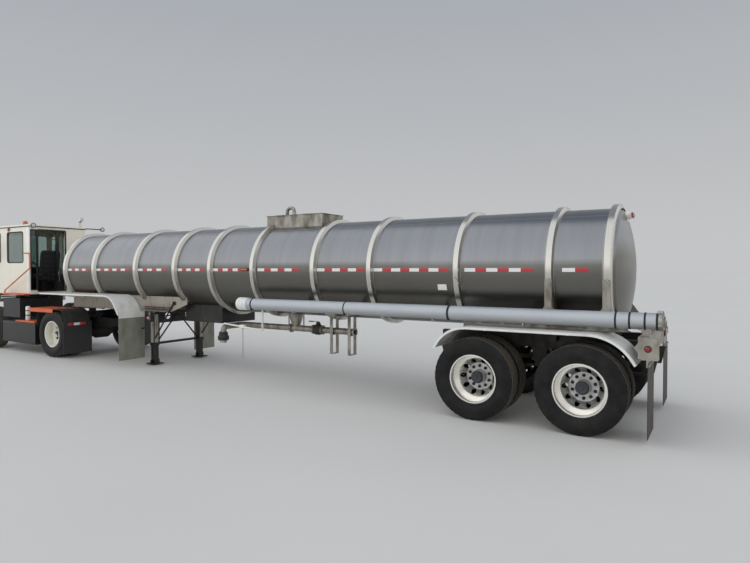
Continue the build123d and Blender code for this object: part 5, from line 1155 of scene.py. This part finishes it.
def dress_cab():
    rubbers = Shape()
    for x0, x1 in SIDE_WINDOWS:
        for y, direction in ((CAB_LEFT, LEFT), (CAB_RIGHT, RIGHT)):
            rubbers.gasket(spot((x0 + x1) / 2, y, 2557.5), direction, (x1 - x0, 755), 60, RUBBER)
    rubbers.gasket(spot(CAB_FRONT, 265, 2497.5), FRONT, (1290, 875), 60, RUBBER)
    rubbers.gasket(spot(CAB_REAR, 880, 2245), BACK, (140, 1470), 16, RUBBER)
    rubbers.piece("window_rubbers", "gasket", "tractor", "rubber_black")

    trim = Shape()
    trim.gasket(spot(CAB_REAR, 440, 2230), BACK, (680, 1500), 14, FRAME)
    for y0, y1 in ((CAB_LEFT, CAB_LEFT + 17), (CAB_RIGHT - 17, CAB_RIGHT)):
        trim.box(spot(12940, y0, GUTTER_Z), spot(14745, y1, GUTTER_Z + 20), 4)
    trim.box(spot(12932, CAB_RIGHT + 30, GUTTER_Z), spot(12950, CAB_LEFT - 30, GUTTER_Z + 20), 4)
    trim.piece("door_frame_and_gutters", "gloss_black", "tractor", "black_paint")

    post = Shape()
    post.box(spot(12962, CAB_LEFT - 1, 1402), spot(13092, CAB_LEFT + 3, 3051), 1.5)
    post.piece("cab_corner_post", "post_white", "tractor", "white_paint")

    panel = Shape()
    panel.gasket(spot(12991, -50, 2404), BACK, (580, 1038), 50, [(-4, -1), (-4, 2), (8, 2), (10, -1)])
    panel.piece("rear_door_window_rubber", "gasket", "cab_door", "rubber_black")
    handle = Shape()
    bow = ((12993, 1700), (12958, 1700), (12958, 1860), (12993, 1860))
    handle.pipe([spot(x, 255, z) for x, z in bow], 8, 12, 18)
    handle.box(spot(12984, 240, 1876), spot(12992, 272, 1960), 3)
    handle.piece("rear_door_handle", "zinc", "cab_door", "stainless_polished")

    dress_cab_lamps()

    rims, faces = Shape(), Shape()
    for y in (1170, -640):
        rims.gasket(spot(14583, y, 2500), BACK, (158, 408), 22, [(-6, -3), (-6, 5), (4, 5), (7, 2), (7, -3)])
        outline = [(-72, -197), (72, -197), (72, 197), (-72, 197)]
        faces.plate(outline, spot(14583.5, y, 2500), facing(BACK), 3, 1)
    rims.piece("mirror_rims", "gasket", "tractor", "black_paint")
    faces.piece("mirror_faces", "mirror", "tractor", "black_paint")

    wipers = Shape()
    for y in (620, 60):
        foot = spot(CAB_FRONT + 4, y, 2020)
        tip = spot(CAB_FRONT + 9, y - WIPER_LEAN, 2500)
        wipers.lathe([(-6, 0), (-6, 20), (12, 18), (16, 0)], foot, FRONT, 20)
        elbow = spot(CAB_FRONT + 22, y - WIPER_LEAN * 0.2, 2110)
        wipers.pipe([foot + Vector((12, 0, 0)), elbow, tip + Vector((8, 0, 0))], 5, 8)
        wipers.rod(tip - Vector((2, 0, 250)), tip + Vector((-2, 0, 250)), 7, 8)
    wipers.piece("wipers", "gasket", "tractor", "rubber_black")

    can = Shape()
    profile = [(0, 0), (0, 40), (6, 48), (14, 50), (318, 50), (330, 46), (340, 34), (344, 0)]
    can.lathe(profile, spot(12900, 1060, 775.5), UP, 36)
    can.piece("air_dryer_can", "post_white", "tractor", "white_paint")
    coil = Shape()
    for z in (900, 1010):
        coil.collar(spot(12900, 1060, z), UP, 49, 54, 22, 2, 32)
    coil.piece("air_dryer_bands", "gasket", "tractor", "rubber_black")

    shield = Shape()
    for z in (1560, 1930, 2310):
        shield.collar(spot(13450, -580, z), UP, 94, 100, 30, 2, 40)
    shield.piece("muffler_bands", "zinc", "tractor", "stainless_polished")


def dress_cab_lamps():
    """The beacon, the work lamp at the left, the lamp on its bar at the right and the red side lamp."""
    dome, bases, faces, reds = Shape(), Shape(), Shape(), Shape()
    beacon = [(0, 0), (0, 62), (10, 64), (70, 60), (92, 46), (104, 22), (107, 0)]
    dome.lathe(beacon, spot(13650, 720, CAB_TOP + 22), UP, 40)
    dome.piece("beacon_dome", "amber_lens", "tractor", "lamp_amber")
    foot = [(0, 0), (0, 74), (6, 76), (20, 70), (26, 66), (26, 0)]
    bases.lathe(foot, spot(13650, 720, CAB_TOP + 0.3), UP, 40)
    bowl = [(0, 0), (0, 34), (-22, 52), (-52, 60), (-60, 60), (-60, 50), (-54, 48), (-54, 0)]
    for x, y in ((12925, 920), (12945, -890)):
        bases.lathe(bowl, spot(x, y, LAMP_Z - 2), FRONT, 36)
        faces.lathe([(0, 0), (0, 47), (-5, 46), (-9, 30), (-10, 0)], spot(x - 52, y, LAMP_Z - 2), FRONT, 36)
    bases.rod(spot(12970, -471, LAMP_Z), spot(12970, -892, LAMP_Z), 13)
    bases.rod(spot(12970, -890, LAMP_Z), spot(12935, -890, LAMP_Z - 2), 16)
    side = spot(13915, CAB_LEFT + 14, 3010)
    bases.lathe([(-15, 0), (-15, 20), (2, 44), (10, 44), (10, 0)], side, LEFT, 32)
    reds.lathe([(6, 0), (6, 38), (14, 36), (20, 18), (21, 0)], side, LEFT, 32)
    reds.piece("cab_side_lamp", "red_lens", "tractor", "lamp_red")
    made = bases.piece("roof_lamp_bodies", "gasket", "tractor", "black_paint")
    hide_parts("roof_lamps")
    faces.piece("work_lamp_faces", "clear_lens", "tractor", "lamp_amber")


# The nose: headlamps, mesh, turn lamps, hood catches and bumper bolts
HOOD_FACE = 15320
GRILLE_BACK = 15286
MESH_PITCH = 40


def dress_nose():
    rims, glass, mesh, ambers = Shape(), Shape(), Shape(), Shape()
    for y in (-725, 765):
        rims.collar(spot(HOOD_FACE + 4, y, 1350), FRONT, 78, 96, 22, 6, 48)
        dome = [(-6, 0), (-6, 80), (4, 80), (16, 60), (22, 30), (23, 0)]
        glass.lathe(dome, spot(HOOD_FACE, y, 1350), FRONT, 44)
    rims.piece("headlamp_rims", "polished", "tractor", "stainless_polished")
    glass.piece("headlamp_lenses", "clear_lens", "tractor", "window_glass")
    for y in range(-560, 561, MESH_PITCH):
        mesh.rod(spot(GRILLE_BACK, y, 1206), spot(GRILLE_BACK, y, 1706), 3, 6, 0.5)
    for z in range(1212, 1693, MESH_PITCH):
        mesh.rod(spot(GRILLE_BACK - 5, -566, z), spot(GRILLE_BACK - 5, 566, z), 3, 6, 0.5)
    mesh.piece("grille_mesh", "gasket", "tractor", "black_paint")
    for y in (-840, 900):
        ambers.box(spot(HOOD_FACE - 4, y - 34, 1480), spot(HOOD_FACE + 20, y + 34, 1580), 8)
    ambers.piece("turn_lamps", "amber_lens", "tractor", "lamp_amber")
    catches = Shape()
    for y, sign in ((970, 1), (-890, -1)):
        for x in (14820, 15180):
            catches.box(spot(x - 22, y - sign, 1150), spot(x + 22, y + sign * 14, 1280), 6)
            catches.rod(spot(x, y + sign * 10, 1180), spot(x, y + sign * 26, 1180), 12)
    bow = ((15200, -60, 1880), (15250, -60, 1905), (15250, 120, 1905), (15200, 120, 1880))
    catches.pipe([spot(*place) for place in bow], 9, 10, 16)
    catches.piece("hood_catches", "gasket", "tractor", "rubber_black")
    bolts = Shape()
    for y in (-400, -330, 330, 400):
        for z in (560, 690):
            bolts.nut(spot(15450, y, z), FRONT, 30, 16)
    bolts.piece("bumper_bolts", "zinc", "tractor", "black_paint")


# The driver's seat: each pad's middle, half size, lean back in degrees and number of sewn channels
PADS = [
    ("seat_cushion", (13560, 300, 1815), (250, 248, 68), 0.0, 3),
    ("seat_back", (13308, 300, 2188), (62, 236, 308), 9.0, 3),
]
PAD_CUTS = 30
PAD_SQUARENESS = 7
# Depths as shares of a half size: how far a face crowns, a channel sinks and an edge is drawn in
PAD_CROWN = 0.22
CHANNEL_DEEP = 0.13
CHANNEL_WIDE = 0.035
EDGE_DRAWN = 0.035
PIPING_R = 6
PIPING_STEPS = 48


def squared(place):
    """A place moved on to a rounded square or cube that reaches 1 each way."""
    size = sum(abs(c) ** PAD_SQUARENESS for c in place) ** (1 / PAD_SQUARENESS)
    return [c / size for c in place]


def pad(name, centre, half, lean, channels):
    """A crowned cushion with piping round it and sewn channels across its face."""
    shape, piping = Shape(), Shape()
    thin, long = (2, 0) if half[2] < half[0] else (0, 2)
    bmesh.ops.create_cube(shape.bm, size=2.0)
    bmesh.ops.subdivide_edges(shape.bm, edges=list(shape.bm.edges), cuts=PAD_CUTS, use_grid_fill=True)
    for vert in shape.bm.verts:
        u = list(vert.co)
        p = squared(u)
        crown = PAD_CROWN * (1 - u[1] ** 2) * (1 - u[long] ** 2)
        p[thin] += crown * (1 if u[thin] > 0 else 0) * (1 if abs(u[thin]) > 0.99 else abs(u[thin]))
        if u[thin] > 0.6:
            for k in range(channels):
                off = (u[long] + 0.5 - k / (channels - 1)) / CHANNEL_WIDE
                p[thin] -= CHANNEL_DEEP * math.exp(-(off**2)) * (1 - u[1] ** 6)
        for drawn, other in ((long, 1), (1, long)):
            pull = EDGE_DRAWN * (1 - u[other] ** 2) * abs(u[drawn]) ** 8
            p[drawn] -= pull if p[drawn] > 0 else -pull
        vert.co = Vector([share * reach for share, reach in zip(p, half)])
    turn = Matrix.Rotation(math.radians(-lean), 4, "Y")
    placed = Matrix.Translation(spot(*centre)) @ turn
    bmesh.ops.transform(shape.bm, matrix=placed, verts=shape.bm.verts)
    cushion = shape.piece(name, "cloth", "tractor", "seat_cloth", 60.0)
    around = []
    for c, s in circle(PIPING_STEPS):
        place = [0.0, 0.0, 0.0]
        c, s = squared((c, s))
        place[1], place[long], place[thin] = half[1] * c, half[long] * s, half[thin] * 0.52
        around.append(placed @ (Vector(place) * 0.985))
    rings = []
    upright = turn @ Vector(UP if thin == 2 else FRONT)
    for k, point in enumerate(around):
        ahead = (around[(k + 1) % PIPING_STEPS] - around[k - 1]).normalized()
        side = ahead.cross(upright).normalized()
        other = ahead.cross(side)
        rings.append(piping.row(point + (side * c + other * s) * PIPING_R for c, s in circle(8)))
    piping.skin([*rings, rings[0]])
    piping.piece(f"{name}_piping", "gasket", "tractor", "seat_cloth")
    return cushion


def dress_seat():
    cushions = [pad(*row) for row in PADS]
    stand = Shape()
    stand.box(spot(13390, 140, 1450.3), spot(13750, 460, 1478), 6)
    stand.box(spot(13390, 140, 1712), spot(13750, 460, 1748), 6)
    # The bellows round the seat's post
    for z in range(1480, 1676, 39):
        stand.box(spot(13408, 158, z), spot(13732, 442, z + 37), 14)
    stand.box(spot(13240, 215, 1700), spot(13420, 385, 1730), 8)
    for y in (230, 370):
        stand.pipe([spot(13250, y, 1715), spot(13250, y, 2050)], 14, 12)
    base = stand.piece("seat_stand", "plastic", "tractor", "plastic_black")
    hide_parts("seat")
    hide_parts("seat")


# The studio: its nodes, and the rays that see the dome
SKYWARD = ("ShaderNodeTexCoord", {}, (), "Generated")
GLOW = ("ShaderNodeBackground", {}, ("Color", "Strength"), 0)
SKY = ("ShaderNodeOutputWorld", {}, ("Surface",), None)
SEEN_RAYS = ("Is Camera Ray", "Is Glossy Ray", "Is Transmission Ray")
# Height on the dome, as a share, where the horizon's colour ends and the zenith's begins
HORIZON_TO, ZENITH_FROM = 0.04, 0.8
FILL_SOFTNESS = math.radians(80)
SENSOR_MM = 36.0
# How far off the lamps stand, and how far the camera sees, in metres
LAMP_AWAY = 20
CLIP_END = 1000.0


def build_stage(sizes, colours):
    scene = bpy.context.scene
    ground = Shape()
    reach = sizes.floor_reach
    rows = [ground.row((x, y, 0.0) for y in (-reach, reach)) for x in (-reach, reach)]
    ground.skin(rows, closed=False)
    floor = ground.object("studio_floor", "floor")

    world = bpy.data.worlds.new("studio_dome")
    world.use_nodes = True
    scene.world = world
    tree = world.node_tree
    tree.nodes.clear()
    up = add(tree, RANGE, add(tree, Z_OF, add(tree, SKYWARD)), HORIZON_TO, ZENITH_FROM)
    dome = add(tree, MIX, up, colours.horizon, colours.zenith)
    # What the camera, the metal and the glass see of the dome is as pale as the floor's far end
    camera, glossy, through = (add(tree, ("ShaderNodeLightPath", {}, (), ray)) for ray in SEEN_RAYS)
    seen = add(tree, LARGER, add(tree, LARGER, camera, glossy), through)
    strength = add(tree, RANGE, seen, 0.0, 1.0, sizes.dome_strength, sizes.dome_seen)
    add(tree, SKY, add(tree, GLOW, dome, strength))

    # Name, power, softness, and the direction that it comes from
    lamps = [
        ("key", sizes.key_power, sizes.key_softness, (0.65, 0.62, 0.75)),
        ("fill", sizes.fill_power, FILL_SOFTNESS, (-0.75, 0.6, 0.35)),
        ("rear", sizes.fill_power, FILL_SOFTNESS, (-0.8, -0.6, 0.35)),
    ]
    for name, power, soft, source in lamps:
        light = bpy.data.lights.new(name, "SUN")
        light.energy = power
        light.angle = soft
        lamp = bpy.data.objects.new(name, light)
        lamp.rotation_euler = Vector(source).to_track_quat("Z", "Y").to_euler()
        lamp.location = Vector(source) * LAMP_AWAY
        scene.collection.objects.link(lamp)

    # The photograph's viewpoint: the camera stands behind and to the left, at a person's eye height
    eye = bpy.data.cameras.new("photo_camera")
    eye.sensor_width = SENSOR_MM
    eye.lens = sizes.camera_lens
    eye.clip_end = CLIP_END
    camera = bpy.data.objects.new("photo_camera", eye)
    camera.location = sizes.camera_place
    yaw, pitch = sizes.camera_yaw, sizes.camera_pitch
    ahead = Vector((math.cos(yaw) * math.cos(pitch), math.sin(yaw) * math.cos(pitch), math.sin(pitch)))
    camera.rotation_euler = ahead.to_track_quat("-Z", "Y").to_euler()
    scene.collection.objects.link(camera)
    scene.camera = camera
    scene.view_settings.view_transform = "Standard"


def colour(name, description, code):
    """A colour for the panel, from an sRGB hex code."""
    return bpy.props.FloatVectorProperty(
        name=name, description=description, default=linear(code), subtype="COLOR"
    )


def number(name, description, default, **settings):
    """A number for the panel, with its unit or least value."""
    return bpy.props.FloatProperty(name=name, description=description, default=default, **settings)


class TankLorryColours(bpy.types.PropertyGroup):
    """Colours of the finishes and of the studio."""

    shell: colour("Barrel", "Rolled stainless of the barrel", "939496")
    # The colour of the barrel's painted reflection of the ground on its lower half
    film: colour("Ground reflection", "Painted reflection of the ground on the barrel's lower half", "6E6C66")
    aluminium: colour("Aluminium", "Hose tube and ladder", "B2B6BB")
    fender: colour("Fenders", "Enamel of the trailer's fenders", "E3E2DC")
    cab: colour("Cab", "Enamel of the cab and the hood", "E9E2D0")
    step: colour("Steps", "Enamel of the deck and the steps", "D9622F")
    red_lens: colour("Red lenses", "Tail and side lamps", "9C0F14")
    amber_lens: colour("Amber lenses", "Side markers and the beacon", "D2690F")
    tape_red: colour("Red tape", "Red lengths of the reflective tape", "B4141E")
    horizon: colour("Horizon", "The studio's dome at its foot", "D8D9DA")
    zenith: colour("Zenith", "The studio's dome overhead", "98A2B0")


class TankLorrySizes(bpy.types.PropertyGroup):
    """Sizes of the small fittings and of the studio."""

    tape_high: number("Tape width", "Width of the reflective tape", 0.05, unit="LENGTH")
    weld_bead: number("Weld bead", "Width of the barrel's weld beads", 0.008, unit="LENGTH")
    nut_across: number("Wheel nut", "Width across the flats of a wheel nut", 0.03, unit="LENGTH")
    floor_reach: number("Floor reach", "How far the floor runs from the middle", 400.0, unit="LENGTH")
    dome_strength: number("Dome strength", "How strongly the dome lights the lorry", 1.15, min=0.0)
    dome_seen: number("Dome as seen", "Brightness of the dome in view and in reflections", 0.8, min=0.0)
    key_power: number("Key light", "Power of the light from the front left", 1.3, min=0.0)
    key_softness: number("Key softness", "Apparent width of the key light", math.radians(100), subtype="ANGLE")
    fill_power: number("Fill light", "Power of the light from the rear left", 0.4, min=0.0)
    camera_lens: number("Focal length", "Focal length of the photograph's camera in millimetres", 27.16)
    camera_place: bpy.props.FloatVectorProperty(
        name="Camera place", description="Where the photograph was taken from",
        default=(-8.7505, 8.2925, 2.0059),
        subtype="TRANSLATION",
    )
    camera_yaw: number("Camera yaw", "Turn of the camera from straight forward", -1.01693, subtype="ANGLE")
    camera_pitch: number("Camera pitch", "Tilt of the camera", -0.02123, subtype="ANGLE")


class TANKLORRY_OT_finishes(bpy.types.Operator):
    """Make the materials and give each modelled node its own"""

    bl_idname = "tanklorry.finishes"
    bl_label = "Finishes"

    def execute(self, context):
        make_materials(context.scene.tank_lorry_colours)
        for finish, nodes in NODE_FINISH.items():
            for node in nodes:
                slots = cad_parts[node].data.materials
                slots.clear()
                slots.append(MATERIALS[finish])
        return {"FINISHED"}


class TANKLORRY_OT_tyres(bpy.types.Operator):
    """Build the moulded tyres"""

    bl_idname = "tanklorry.tyres"
    bl_label = "Tyres"

    def execute(self, context):
        dress_tyres()
        return {"FINISHED"}


class TANKLORRY_OT_hubs(bpy.types.Operator):
    """Build the wheel nuts, hub caps and valve stems"""

    bl_idname = "tanklorry.hubs"
    bl_label = "Hubs and nuts"

    def execute(self, context):
        dress_hubs(context.scene.tank_lorry_sizes)
        return {"FINISHED"}


class TANKLORRY_OT_barrel(bpy.types.Operator):
    """Lay the tape and the weld beads, and fit the barrel's hooks, markers and lamps"""

    bl_idname = "tanklorry.barrel"
    bl_label = "Barrel"

    def execute(self, context):
        sizes = context.scene.tank_lorry_sizes
        dress_tape(sizes)
        dress_seams(sizes)
        dress_barrel()
        return {"FINISHED"}


class TANKLORRY_OT_hose_tube(bpy.types.Operator):
    """Fit the hose tube's clamps, caps and latch"""

    bl_idname = "tanklorry.hose_tube"
    bl_label = "Hose tube"

    def execute(self, context):
        dress_hose_tube()
        return {"FINISHED"}


class TANKLORRY_OT_tail(bpy.types.Operator):
    """Fit the tail lamps, the lamp plate and the flap clamps"""

    bl_idname = "tanklorry.tail"
    bl_label = "Tail"

    def execute(self, context):
        dress_tail()
        return {"FINISHED"}


class TANKLORRY_OT_top(bpy.types.Operator):
    """Fit the lid's clamps and grip, the vent and the spill box's handles"""

    bl_idname = "tanklorry.top"
    bl_label = "Top"

    def execute(self, context):
        dress_top()
        return {"FINISHED"}


class TANKLORRY_OT_underside(bpy.types.Operator):
    """Fit the line's nuts and valves, the guard bar, the landing gear's nuts and the fender trim"""

    bl_idname = "tanklorry.underside"
    bl_label = "Underside"

    def execute(self, context):
        dress_piping()
        dress_landing_gear()
        dress_fenders()
        return {"FINISHED"}


class TANKLORRY_OT_cab(bpy.types.Operator):
    """Fit the cab's rubbers, lamps, mirrors and wipers, and the nose"""

    bl_idname = "tanklorry.cab"
    bl_label = "Cab and nose"

    def execute(self, context):
        dress_cab()
        dress_nose()
        return {"FINISHED"}


class TANKLORRY_OT_seat(bpy.types.Operator):
    """Build the driver's seat"""

    bl_idname = "tanklorry.seat"
    bl_label = "Seat"

    def execute(self, context):
        dress_seat()
        return {"FINISHED"}


class TANKLORRY_OT_stage(bpy.types.Operator):
    """Set up the floor, the lights and the camera"""

    bl_idname = "tanklorry.stage"
    bl_label = "Studio"

    def execute(self, context):
        build_stage(context.scene.tank_lorry_sizes, context.scene.tank_lorry_colours)
        return {"FINISHED"}


OPERATORS = [
    TANKLORRY_OT_finishes,
    TANKLORRY_OT_tyres,
    TANKLORRY_OT_hubs,
    TANKLORRY_OT_barrel,
    TANKLORRY_OT_hose_tube,
    TANKLORRY_OT_tail,
    TANKLORRY_OT_top,
    TANKLORRY_OT_underside,
    TANKLORRY_OT_cab,
    TANKLORRY_OT_seat,
    TANKLORRY_OT_stage,
]


class TANKLORRY_PT_panel(bpy.types.Panel):
    """Lists the sizes, the colours and the steps"""

    bl_label = "Tank lorry"
    bl_idname = "TANKLORRY_PT_panel"
    bl_space_type = "VIEW_3D"
    bl_region_type = "UI"
    bl_category = "Tank lorry"

    def draw(self, context):
        for group in (context.scene.tank_lorry_sizes, context.scene.tank_lorry_colours):
            for name in group.bl_rna.properties.keys():
                if name not in ("rna_type", "name"):
                    self.layout.prop(group, name)
        for operator in OPERATORS:
            self.layout.operator(operator.bl_idname)


CLASSES = [TankLorrySizes, TankLorryColours, *OPERATORS, TANKLORRY_PT_panel]


def register():
    for cls in CLASSES:
        bpy.utils.register_class(cls)
    bpy.types.Scene.tank_lorry_sizes = bpy.props.PointerProperty(type=TankLorrySizes)
    bpy.types.Scene.tank_lorry_colours = bpy.props.PointerProperty(type=TankLorryColours)


def unregister():
    del bpy.types.Scene.tank_lorry_sizes
    del bpy.types.Scene.tank_lorry_colours
    for cls in reversed(CLASSES):
        bpy.utils.unregister_class(cls)


def main():
    register()
    for operator in OPERATORS:
        group, name = operator.bl_idname.split(".")
        getattr(getattr(bpy.ops, group), name)()


if __name__ == "__main__":
    main()
